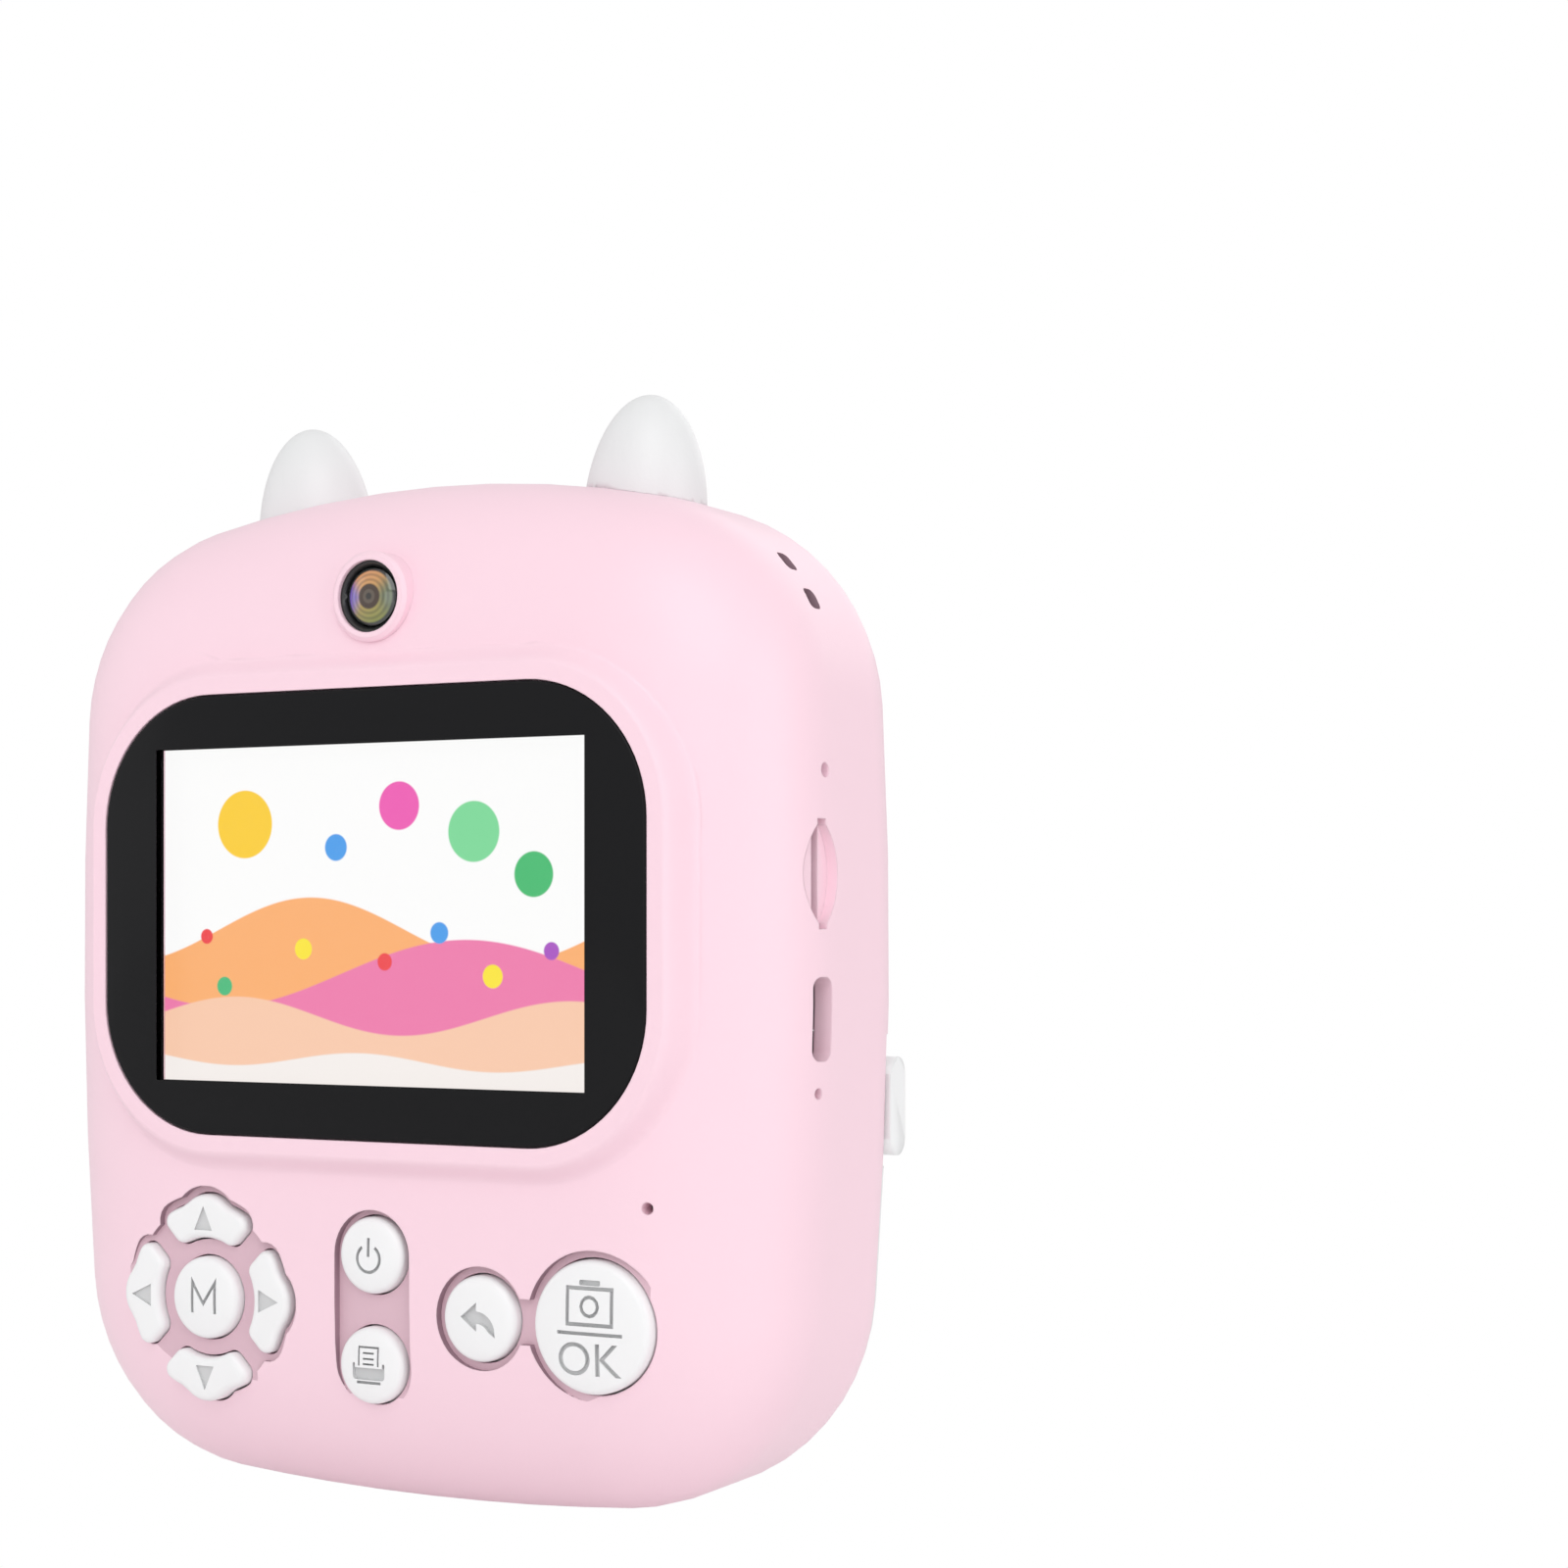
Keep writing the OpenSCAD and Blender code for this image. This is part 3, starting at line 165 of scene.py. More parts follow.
class Finish:
    """A procedural material with one Principled shader."""

    def __init__(self, name, base, roughness, **fixed):
        self.material = bpy.data.materials.new(name)
        self.material.use_nodes = True
        self.tree = self.material.node_tree
        self.shader = self.tree.nodes["Principled BSDF"]
        self.shader.inputs["Base Color"].default_value = (*base, 1)
        self.shader.inputs["Roughness"].default_value = roughness
        for key, value in fixed.items():
            self.shader.inputs[key.replace("_", " ")].default_value = value
        self.material.diffuse_color = (*base, 1)

    def node(self, kind, settings, *values):
        """A node of that type; its settings come first, then its sockets in order."""
        made = self.tree.nodes.new(kind)
        for key, value in settings.items():
            setattr(made, key, value)
        for socket, value in zip([s for s in made.inputs if s.enabled], values):
            if isinstance(value, Val):
                self.tree.links.new(value.socket, socket)
            elif value is not None:
                socket.default_value = (*value, 1) if socket.type == "RGBA" else value
        return {s.name: Val(self, s) for s in made.outputs if s.enabled}

    def feed(self, key, value):
        self.tree.links.new(value.socket, self.shader.inputs[key])

    def place(self):
        """Object coordinates as one vector in metres, and as x, y and z in millimetres."""
        where = self.node("ShaderNodeTexCoord", {})["Object"]
        parts = self.node("ShaderNodeSeparateXYZ", {}, where)
        return where, [parts[k] * 1000 for k in "XYZ"]

    def noise(self, where, scale):
        return self.node("ShaderNodeTexNoise", {"noise_dimensions": "3D"}, where, scale, 3.0)["Fac"]

    def mix(self, mask, under, over):
        """The colour under where the mask is 0 and the colour over where it is 1."""
        return self.node("ShaderNodeMix", {"data_type": "RGBA"}, mask, under, over)["Result"]

    def grain(self, scale, depth, spread, edge=None):
        """Fine moulding texture: a bump of that depth in metres, a small change in gloss, and
        edges that shade as if rounded by that radius in metres."""
        where, _ = self.place()
        gloss = self.shader.inputs["Roughness"].default_value
        soft = self.node("ShaderNodeBevel", {"samples": 6}, edge)["Normal"] if edge else None
        fine = self.noise(where, scale)
        self.feed("Normal", self.node("ShaderNodeBump", {}, None, depth, None, fine, soft)["Normal"])
        self.feed("Roughness", (self.noise(where, 60.0) - 0.5) * spread + gloss)


def lamp(name, place, aim, size, watts):
    data = bpy.data.lights.new(name, "AREA")
    data.size, data.energy = size, watts
    made = bpy.data.objects.new(name, data)
    made.location = place
    made.rotation_euler = (Vector(aim) - Vector(place)).to_track_quat("-Z", "Y").to_euler()
    bpy.context.scene.collection.objects.link(made)


def camera_sees(tree, output, shown, lit):
    """Rays from the camera meet one shader, and all other light meets the other."""
    rays = tree.nodes.new("ShaderNodeLightPath")
    either = tree.nodes.new("ShaderNodeMixShader")
    tree.links.new(rays.outputs["Is Camera Ray"], either.inputs[0])
    tree.links.new(lit.outputs[0], either.inputs[1])
    tree.links.new(shown.outputs[0], either.inputs[2])
    tree.links.new(either.outputs[0], tree.nodes[output].inputs["Surface"])


MIDDLE = (0, 0, 0.05)
lamp("key_light", (0.3, -0.8, 0.7), MIDDLE, 0.7, 2.4)
lamp("left_light", (-0.9, -0.35, 0.25), MIDDLE, 0.7, 0.5)
lamp("low_light", (0.1, -1.0, 0.06), (0, 0, 0.04), 0.5, 0.6)
lamp("right_light", (0.95, -0.3, 0.2), MIDDLE, 0.7, 1.6)
lamp("back_light", (0.1, 0.8, 0.6), MIDDLE, 0.7, 1.2)

world = bpy.data.worlds.new("surround")
world.use_nodes = True
sky = world.node_tree.nodes["Background"]
sky.inputs["Color"].default_value = (1, 1, 1, 1)
sky.inputs["Strength"].default_value = 0.72
white_sky = world.node_tree.nodes.new("ShaderNodeBackground")
white_sky.inputs["Color"].default_value = (1, 1, 1, 1)
camera_sees(world.node_tree, "World Output", white_sky, sky)
bpy.context.scene.world = world
bpy.context.scene.view_settings.view_transform = "Standard"

# The table lies a little below the foot, because the open door hangs below it: a real camera
# is held in the hand, or laid on its screen, while its door is open.
TABLE_SIZE, TABLE_DROP = 4, 0.006
bpy.ops.mesh.primitive_plane_add(size=TABLE_SIZE, location=(0, 0, -TABLE_DROP))
table_top = bpy.context.object
table_top.name = "table_top"
table = Finish("table_white", (0.93, 0.93, 0.93), 0.8)
camera_sees(table.tree, "Material Output", table.tree.nodes.new("ShaderNodeEmission"), table.shader)
table_top.data.materials.append(table.material)

# ---- Screen shell -----------------------------------------------------------------------
# The pink moulding that holds the display, the keys and the boards: injection-moulded ABS
# with a fine satin surface. Its form is the CAD form; the shading follows the true curve of
# the blends, so that their facets don't show.
FACE_Y = -23.2          # depth of the flat screen face in the row frame, mm
BODY_W, BODY_H, BODY_D = 93.4, 108.2, 37.6
SIDE_BOW, TOP_BOW, BOTTOM_BOW = 3.3, 8.5, 3.9       # how far each side bulges
WIDEST_Z = 58.3         # height at which the body is widest
CORNER_R = 22.8
FOOT_CUT = 0.4          # how deep the flat foot is cut into the bulge of the bottom
# each face blends into the sides over a reach and a depth, by a curve of that power
FACE_REACH, FACE_DEPTH, FACE_POWER = 22.0, 14.4, 2.37
LENS_REACH, LENS_DEPTH, LENS_POWER = 18.0, 13.4, 2.0

# the display's window, and the raised border round it with its slope
DISPLAY_Z = 62.1
WINDOW_W, WINDOW_H, WINDOW_R = 68.0, 46.8, 14.0
BORDER_RIM, BORDER_SLOPE, BORDER_H = 1.6, 2.3, 1.8
BORDER_FOOT = 2.2       # the foot of the slope lies no deeper than this below the face

SELFIE_Z = 95.0         # height of the selfie camera
SELFIE_RING = 4.72      # outer radius of the raised ring round it
RECESS = 0.9            # depth of the recesses of the keys
KEYS_LOW, KEYS_HIGH = 7, 34     # the keys lie between these heights
STRAP_DEPTHS = 14.6, 17.4       # the strap's holes lie between these depths,
STRAP_LOW, STRAP_ASIDE = 90, 36     # above this height and further out than this
SLOTS = {part["node"]: part["material_slot"] for part in frame["record"]["subparts"]}
SMOOTH = 32             # edges flatter than this many degrees shade as smooth
DOUBLES = 2e-6          # vertices nearer than this, in metres, are joined
ON_FORM = 0.12          # what lies nearer than this to the body's form, in mm, is on it
ALIGNED = 0.94          # least cosine between a face on the form and the form there


def only(obj):
    """Deselects everything, then selects this one object and makes it active."""
    if bpy.context.object and bpy.context.object.mode != "OBJECT":
        bpy.ops.object.mode_set(mode="OBJECT")
    bpy.ops.object.select_all(action="DESELECT")
    obj.select_set(True)
    bpy.context.view_layer.objects.active = obj


def add_piece(name, data):
    """A new object of that mesh or curve, which alone is selected."""
    made = bpy.data.objects.new(name, data)
    bpy.context.scene.collection.objects.link(made)
    only(made)
    return made


def cad_copy(node, angle=SMOOTH):
    """A copy of a CAD node's mesh, its loose triangles joined, that stands for the node."""
    source = frame["nodes"][node]
    mesh = source.data.copy()
    mesh.transform(source.matrix_world)
    made = add_piece(node + "_piece", mesh)
    bpy.ops.object.mode_set(mode="EDIT")
    bpy.ops.mesh.select_all(action="SELECT")
    bpy.ops.mesh.remove_doubles(threshold=DOUBLES)
    bpy.ops.object.mode_set(mode="OBJECT")
    bpy.ops.object.shade_smooth_by_angle(angle=radians(angle))
    return made


def stands_for(piece, node, *finishes):
    """The finished piece takes the place of a CAD node: its body and its finish."""
    if finishes:
        piece.data.materials.clear()
        for finish in finishes:
            piece.data.materials.append(finish.material)
    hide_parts(node)
    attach(piece, body_of(frame["nodes"][node])[0])


def angle_of(v):
    return degrees(atan2(v[1], v[0]))


def meet(first, first_r, second, second_r, side):
    """Where a circle round the first point meets a circle round the second."""
    first, second = np.array(first, float), np.array(second, float)
    apart = np.linalg.norm(second - first)
    way = (second - first) / apart
    along = (first_r * first_r - second_r * second_r + apart * apart) / (2 * apart)
    return first + along * way + side * sqrt(first_r * first_r - along * along) * np.array([-way[1], way[0]])


def bow_radius(chord, bow):
    return (chord * chord / 4 + bow * bow) / (2 * bow)


# outline of the body in x and z: eight arcs that meet without a corner
SIDE_R = bow_radius(BODY_H + FOOT_CUT, SIDE_BOW)
TOP_R = bow_radius(BODY_W, TOP_BOW)
BOTTOM_R = bow_radius(BODY_W, BOTTOM_BOW)
SIDE_C, TOP_C, LOW_C = (BODY_W / 2 - SIDE_R, WIDEST_Z), (0, BODY_H - TOP_R), (0, BOTTOM_R - FOOT_CUT)
UPPER_C = meet(SIDE_C, SIDE_R - CORNER_R, TOP_C, TOP_R - CORNER_R, 1)
LOWER_C = meet(SIDE_C, SIDE_R - CORNER_R, LOW_C, BOTTOM_R - CORNER_R, -1)


def off_outline(x, z):
    """Distance inwards from the outline, and the direction straight out, at a place in mm."""
    at = np.array((abs(x), z))
    upper = CORNER_R, UPPER_C, angle_of(UPPER_C - SIDE_C), angle_of(UPPER_C - TOP_C)
    lower = CORNER_R, LOWER_C, angle_of(LOWER_C - LOW_C), angle_of(LOWER_C - SIDE_C)
    for radius, centre, low, high in (upper, lower):
        if low <= angle_of(at - centre) <= high:
            break
    else:
        if angle_of(at - TOP_C) > upper[3] and z > WIDEST_Z:
            centre, radius = TOP_C, TOP_R
        elif angle_of(at - LOW_C) < lower[2] and z < WIDEST_Z:
            centre, radius = LOW_C, BOTTOM_R
        else:
            centre, radius = SIDE_C, SIDE_R
    out = at - centre
    far = np.linalg.norm(out)
    return radius - far, (out[0] / far * (1 if x >= 0 else -1), out[1] / far)


def body_normal(x, y, z):
    """The true outward direction of the body's form at a place in mm, and how far off it lies."""
    inwards, (out_x, out_z) = off_outline(x, z)
    if y < FACE_DEPTH:
        reach, depth, power, into, sign = FACE_REACH, FACE_DEPTH, FACE_POWER, FACE_DEPTH - y, -1
    elif y > BODY_D - LENS_DEPTH:
        reach, depth, power, into, sign = LENS_REACH, LENS_DEPTH, LENS_POWER, y - BODY_D + LENS_DEPTH, 1
    else:
        return Vector((out_x, 0, out_z)), abs(inwards)
    across = max(reach - inwards, 0.0)
    side = (across / reach) ** (power - 1) / reach
    front = (into / depth) ** (power - 1) / depth
    slope = hypot(side, front)
    miss = abs((across / reach) ** power + (into / depth) ** power - 1) / power / slope
    return Vector((out_x * side, sign * front, out_z * side)) / slope, miss


def in_body(place):
    """A place of the row frame as x, depth from the screen face and z, in mm."""
    return place.x / MM, place.y / MM - FACE_Y, place.z / MM


def on_border(x, z):
    """How far across the slope of the display's raised border a place in mm lies: 0 at its top
    and 1 at its foot."""
    x = max(abs(x) - WINDOW_W / 2 + WINDOW_R, 0)
    z = max(abs(z - DISPLAY_Z) - WINDOW_H / 2 + WINDOW_R, 0)
    return (hypot(x, z) - WINDOW_R - BORDER_RIM) / BORDER_SLOPE


def face_depth(x, z):
    """Depth of the screen face at a place in mm, with the border run out softly into it."""
    across = min(max(1 - off_outline(x, z)[0] / FACE_REACH, 0.0), 1.0)
    curve = FACE_DEPTH * (1 - (1 - across ** FACE_POWER) ** (1 / FACE_POWER))
    raised = (1 + cos(pi * min(max(on_border(x, z), 0.0), 1.0))) / 2
    return curve * (1 - raised) - BORDER_H * raised


def border_normal(x, z):
    """Outward direction of the screen face at a place in mm, from two short steps each way."""
    step = 0.01
    sideways = (face_depth(x + step, z) - face_depth(x - step, z)) / (2 * step)
    upwards = (face_depth(x, z + step) - face_depth(x, z - step)) / (2 * step)
    return Vector((sideways, -1, upwards)).normalized()


def run_out(piece):
    """Lets the slope of the border end on the body's form, where the CAD form has a step. Cuts
    across its long faces let it follow the curve of the outline, and what the step undercut goes."""
    made = bmesh.new()
    made.from_mesh(piece.data)

    def faces_of_border(low, high):
        found = []
        for face in made.faces:
            x, y, z = face.calc_center_median() / MM
            if y < FACE_Y + BORDER_FOOT and low < on_border(x, z) < high:
                found.append(face)
        return found

    for axis, places in ((0, range(-18, 19, 4)), (2, range(54, 72, 4))):
        for place in places:
            near = faces_of_border(-0.1, 1.02)
            edges = dict.fromkeys(edge for face in near for edge in face.edges)
            corners = dict.fromkeys(vertex for face in near for vertex in face.verts)
            through, across = Vector((0, 0, 0)), Vector((0, 0, 0))
            through[axis], across[axis] = place * MM, 1
            bmesh.ops.bisect_plane(made, geom=near + list(edges) + list(corners),
                                   plane_co=through, plane_no=across)
    for vertex in made.verts:
        x, y, z = vertex.co / MM
        share = on_border(x, z)
        if 0.01 < share < 1.01:
            depth = face_depth(x, z)
            if y < FACE_Y + 0.01 or (share > 0.99 and y < FACE_Y + depth + 0.3):
                vertex.co.y = (FACE_Y + depth) * MM
    made.normal_update()
    undercut = [face for face in faces_of_border(0.75, 1.02) if face.normal.y > 0.05]
    bmesh.ops.delete(made, geom=undercut, context="FACES")
    made.to_mesh(piece.data)
    made.free()
    return piece


def soft_normals(mesh):
    """Each corner's normal is the mean of the faces at its vertex that lie within the angle of
    its own face, so a sliver of a face can't bend the light across the edge of a flat one."""
    limit = cos(radians(SMOOTH))
    around = [[] for _ in mesh.vertices]
    for face in mesh.polygons:
        places = [mesh.vertices[k].co for k in face.vertices]
        for k, place in enumerate(places):
            before, after = places[k - 1] - place, places[(k + 1) % len(places)] - place
            around[face.vertices[k]].append((face.normal.copy(), face.area * before.angle(after, 0)))
    normals = [None] * len(mesh.loops)
    for face in mesh.polygons:
        for k, vertex in zip(face.loop_indices, face.vertices):
            near = [normal * share for normal, share in around[vertex] if normal.dot(face.normal) > limit]
            mean = sum(near, Vector())
            normals[k] = mean.normalized() if mean.length > 0 else face.normal.copy()
    return normals


def follow_body(piece):
    """Where a piece's faces lie on the body's form, they shade as that smooth form does, and so
    does the slope of the border."""
    mesh = piece.data
    places = [in_body(vertex.co) for vertex in mesh.vertices]
    known = [body_normal(*place) for place in places]
    normals = soft_normals(mesh)
    for face in mesh.polygons:
        x, depth, z = in_body(face.center)
        corners = list(zip(face.loop_indices, face.vertices))
        if depth < BORDER_FOOT and -0.02 < on_border(x, z) < 1.01:
            for k, vertex in corners:
                x, depth, z = places[vertex]
                if abs(depth - face_depth(x, z)) < 0.05:
                    normals[k] = border_normal(x, z)
            continue
        on_ring = all(hypot(places[v][0], places[v][2] - SELFIE_Z) < SELFIE_RING for v in face.vertices)
        on_form = all(miss < ON_FORM and out.dot(face.normal) > ALIGNED
                      for out, miss in (known[v] for v in face.vertices))
        if on_form and not on_ring:
            for k, vertex in corners:
                normals[k] = known[vertex][0]
    mesh.normals_split_custom_set(normals)
    return piece


SATIN = 2600.0, 0.000012, 0.06      # scale, depth and spread of the grain of these mouldings
pink = Finish("pink_abs", (0.96, 0.69, 0.78), 0.42, Coat_Weight=0.12, Coat_Roughness=0.25)
pink.grain(*SATIN, edge=0.00025)
# A darker copy of the pink: painted shade for the floors of the key recesses.
painted_shade_pink = Finish("pink_abs_painted_shade", (0.72, 0.49, 0.565), 0.55)
painted_shade_pink.grain(*SATIN)
# A much darker copy of the pink: painted shade for the walls of the key recesses and the strap holes.
painted_deep_shade_pink = Finish("pink_abs_painted_deep_shade", (0.36, 0.23, 0.28), 0.6)
screen_shell = follow_body(run_out(cad_copy("screen_shell")))
stands_for(screen_shell, "screen_shell", pink, painted_shade_pink, painted_deep_shade_pink)


def on_recess_floor(face, corners):
    level = all(abs(depth - RECESS) < 0.02 and z < KEYS_HIGH for _, depth, z in corners)
    return level and face.normal.y < -0.99


def on_recess_wall(face, corners):
    inside = all(-0.01 < depth < RECESS + 0.02 and KEYS_LOW < z < KEYS_HIGH for _, depth, z in corners)
    return inside and abs(face.normal.y) < 0.05


def in_strap_hole(face):
    """The strap is threaded through holes in the upper corners, across the body's form."""
    x, depth, z = in_body(face.center)
    near, far = STRAP_DEPTHS
    in_corner = near < depth < far and z > STRAP_LOW and abs(x) > STRAP_ASIDE
    return in_corner and abs(body_normal(x, depth, z)[0].dot(face.normal)) < 0.6


# Painted shade: the floors of the key recesses take the darker pink, and the walls of those recesses and the
# insides of the strap holes take the darkest one.
for face in screen_shell.data.polygons:
    corners = [in_body(screen_shell.data.vertices[k].co) for k in face.vertices]
    if on_recess_floor(face, corners):
        face.material_index = 1
    elif in_strap_hole(face) or on_recess_wall(face, corners):
        face.material_index = 2

# ---- Lens shell and paper door ----------------------------------------------------------
# The lens side is two mouldings: a pink one with the tear edge over a white door, which is
# hinged at the foot and has three grooves across its top to grip it by.
white = Finish("white_abs", (0.90, 0.905, 0.91), 0.4, Coat_Weight=0.12, Coat_Roughness=0.25)
white.grain(*SATIN, edge=0.0002)
stands_for(follow_body(cad_copy("lens_shell")), "lens_shell", pink)
stands_for(follow_body(cad_copy("paper_door")), "paper_door", white)

# ---- Ears -------------------------------------------------------------------------------
# Two solid white mouldings, half an egg each, seated on the crown of the body.
# The ears' white is greyer than the door's: painted shade over the whole ear.
ear_white_painted_shade = Finish("ear_abs_painted_shade", (0.80, 0.805, 0.81), 0.4, Coat_Weight=0.12, Coat_Roughness=0.25)
ear_white_painted_shade.grain(*SATIN)
for node in ("ear_left", "ear_right"):
    stands_for(cad_copy(node, angle=50), node, ear_white_painted_shade)

# ---- Display ----------------------------------------------------------------------------
# A clear window with a black printed border, over a lit panel that shows a picture.
PICTURE_W, PICTURE_H = 53.8, 35.4
WINDOW_GAP = 0.1        # between the window and its seat, all round
window_low, window_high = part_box("display_window")


def flat(name, shapes, y, deep):
    """Flat shapes of x and z in mm, each a list of corners with its faces, extruded to a solid."""
    corners, faces = [], []
    for points, parts in shapes:
        faces += [[k + len(corners) for k in part] for part in parts]
        corners += [(x * MM, y * MM, z * MM) for x, z in points]
    mesh = bpy.data.meshes.new(name)
    mesh.from_pydata(corners, [], faces)
    made = add_piece(name, mesh)
    bpy.ops.object.mode_set(mode="EDIT")
    bpy.ops.mesh.select_all(action="SELECT")
    bpy.ops.mesh.extrude_region_move(TRANSFORM_OT_translate={"value": (0, deep * MM, 0)})
    bpy.ops.mesh.select_all(action="SELECT")
    bpy.ops.mesh.normals_make_consistent(inside=False)
    bpy.ops.object.mode_set(mode="OBJECT")
    return made


def area(points):
    return points, [list(range(len(points)))]


def arc(cx, cz, r, start, end, steps):
    turns = [radians(start + (end - start) * k / steps) for k in range(steps + 1)]
    return [(cx + r * cos(turn), cz + r * sin(turn)) for turn in turns]


def round_box(w, h, r, cx, cz, steps):
    x, z = w / 2 - r, h / 2 - r
    return (arc(cx + x, cz + z, r, 0, 90, steps) + arc(cx - x, cz + z, r, 90, 180, steps)
            + arc(cx - x, cz - z, r, 180, 270, steps) + arc(cx + x, cz - z, r, 270, 360, steps))


def apply(piece, kind, **settings):
    """Adds a modifier with those settings and applies it."""
    only(piece)
    made = piece.modifiers.new(kind.lower(), kind)
    for key, value in settings.items():
        setattr(made, key, value)
    bpy.ops.object.modifier_apply(modifier=made.name)


def soften(piece, width, segments, angle):
    """Rounds the edges of a piece that turn by more than the angle with a bevel, in mm."""
    apply(piece, "BEVEL", width=width * MM, segments=segments, limit_method="ANGLE",
          angle_limit=radians(angle))
    only(piece)
    bpy.ops.object.shade_smooth_by_angle(angle=radians(35))


pane = round_box(WINDOW_W - 2 * WINDOW_GAP, WINDOW_H - 2 * WINDOW_GAP, WINDOW_R - WINDOW_GAP,
                 0, DISPLAY_Z, 20)
window = flat("display_window_piece", [area(pane)], window_low.y / MM, (window_high.y - window_low.y) / MM)
soften(window, 0.3, 3, 60)
glass = Finish("window_glass", (0.012, 0.012, 0.013), 0.12, Specular_IOR_Level=0.08)
_, (gx, _, gz) = glass.place()
printed = abs(gx).step(PICTURE_W / 2, 0.05) + abs(gz - DISPLAY_Z).step(PICTURE_H / 2, 0.05)
glass.feed("Alpha", printed.least(1.0) * 0.97 + 0.03)
stands_for(window, "display_window", glass)

lit = Finish("lit_panel", (0.02, 0.02, 0.02), 0.5, Emission_Strength=1.0)
_, (lx, _, lz) = lit.place()
lz = lz - DISPLAY_Z


def hill(behind, height, waves, shift, swing, paint):
    """Paints everything below a wavy line on a picture made of masks."""
    line = (lx * waves + shift).sin() * swing
    return lit.mix(1.0 - (lz - height - line).step(0.0, 0.12), behind, paint)


def spot(behind, x, z, r, paint):
    """Paints a round spot on a picture made of masks."""
    across, up = lx - x, lz - z
    return lit.mix(1.0 - (across * across + up * up).sqrt().step(r, 0.1), behind, paint)


HILLS = ((-1.6, 0.13, 2.6, 3.4, (0.98, 0.44, 0.16)), (-6.2, 0.10, 0.4, 3.6, (0.87, 0.20, 0.42)),
         (-10.6, 0.15, 4.2, 1.9, (0.96, 0.60, 0.42)), (-15.2, 0.19, 1.9, 0.8, (0.93, 0.88, 0.85)))
SPOTS = ((-16.5, 9.6, 3.6, (0.98, 0.62, 0.02)), (12.6, 8.4, 3.1, (0.20, 0.70, 0.32)),
         (19.8, 4.0, 2.3, (0.05, 0.50, 0.16)), (3.4, 11.2, 2.5, (0.87, 0.10, 0.46)),
         (-4.6, 7.0, 1.4, (0.06, 0.34, 0.84)), (-8.8, -3.6, 1.1, (0.98, 0.80, 0.03)),
         (1.6, -4.9, 0.9, (0.87, 0.05, 0.06)), (8.4, -1.9, 1.1, (0.06, 0.34, 0.84)),
         (14.9, -6.3, 1.2, (0.98, 0.80, 0.03)), (-19.2, -7.6, 1.0, (0.06, 0.50, 0.20)),
         (-21.6, -2.3, 0.8, (0.87, 0.05, 0.06)), (21.9, -3.7, 0.9, (0.40, 0.08, 0.55)))
picture = (0.99, 0.99, 0.985)
for one in HILLS:
    picture = hill(picture, *one)
for one in SPOTS:
    picture = spot(picture, *one)
lit.feed("Emission Color", picture)


def dress(node, finish):
    """Gives its finish to a CAD node that stays."""
    materials = frame["nodes"][node].data.materials
    materials.clear()
    materials.append(finish.material)


dress("lcd_panel", lit)

# ---- Selfie camera ----------------------------------------------------------------------
# A small camera behind a black ring: domed glass with the reflections of its coating painted
# on: orange above, violet at the left and olive below, in fine rings round a dark pupil.
black = Finish("black_plastic", (0.012, 0.012, 0.013), 0.28, Coat_Weight=0.3, Coat_Roughness=0.1)


def turned(name, profile, cx, cz):
    """A piece turned about a depth axis, from a profile of radius and depth in mm."""
    mesh = bpy.data.meshes.new(name)
    mesh.from_pydata([((cx + r) * MM, y * MM, cz * MM) for r, y in profile],
                     [(k, k + 1) for k in range(len(profile) - 1)], [])
    made = add_piece(name, mesh)
    bpy.ops.object.mode_set(mode="EDIT")
    bpy.ops.mesh.select_all(action="SELECT")
    bpy.ops.mesh.spin(steps=72, angle=2 * pi, center=(cx * MM, 0, cz * MM), axis=(0, 1, 0))
    bpy.ops.mesh.select_all(action="SELECT")
    bpy.ops.mesh.remove_doubles(threshold=DOUBLES)
    bpy.ops.mesh.normals_make_consistent(inside=False)
    bpy.ops.object.mode_set(mode="OBJECT")
    bpy.ops.object.shade_smooth_by_angle(angle=radians(30))
    return made


def lens_finish(name, cz, size):
    """Coated lens glass round that height, of that radius in mm, with the coating's reflections painted into
    its colour.
    """
    made = Finish(name, (0.01, 0.01, 0.012), 0.08, Coat_Weight=1.0, Coat_Roughness=0.02)
    _, (x, _, z) = made.place()
    x, z = x * (1 / size), (z - cz) * (1 / size)
    far = (x * x + z * z).sqrt()
    # painted reflections of the coating: orange above, violet at the left, dark green at the right, olive
    # below
    shade = made.mix((z * 0.8 - x * 0.3).step(0.0, 0.7), (0.24, 0.27, 0.05), (0.72, 0.33, 0.13))
    shade = made.mix((x * -1.0 - abs(z) * 0.7).step(0.28, 0.25), shade, (0.20, 0.13, 0.55))
    shade = made.mix((x - abs(z) * 0.6).step(0.25, 0.3), shade, (0.16, 0.20, 0.12))
    lines = ((far * 46.0).sin() * 0.5 + 0.5) * 0.4
    shade = made.mix(lines, shade, (0.012, 0.014, 0.012))
    # the pupil, from its rim inwards, each part within that share of the radius
    for edge, paint in ((0.33, (0.05, 0.026, 0.015)), (0.19, (0.10, 0.075, 0.055)),
                        (0.09, (0.02, 0.018, 0.016))):
        shade = made.mix(1.0 - far.step(edge, 0.03), shade, paint)
    # the dark seat of the glass, outside those shares
    for edge, soft, paint in ((0.69, 0.03, (0.030, 0.036, 0.034)), (0.80, 0.02, (0.008, 0.009, 0.009)),
                              (0.86, 0.02, (0.045, 0.052, 0.050))):
        shade = made.mix(far.step(edge, soft), shade, paint)
    made.feed("Base Color", shade)
    return made


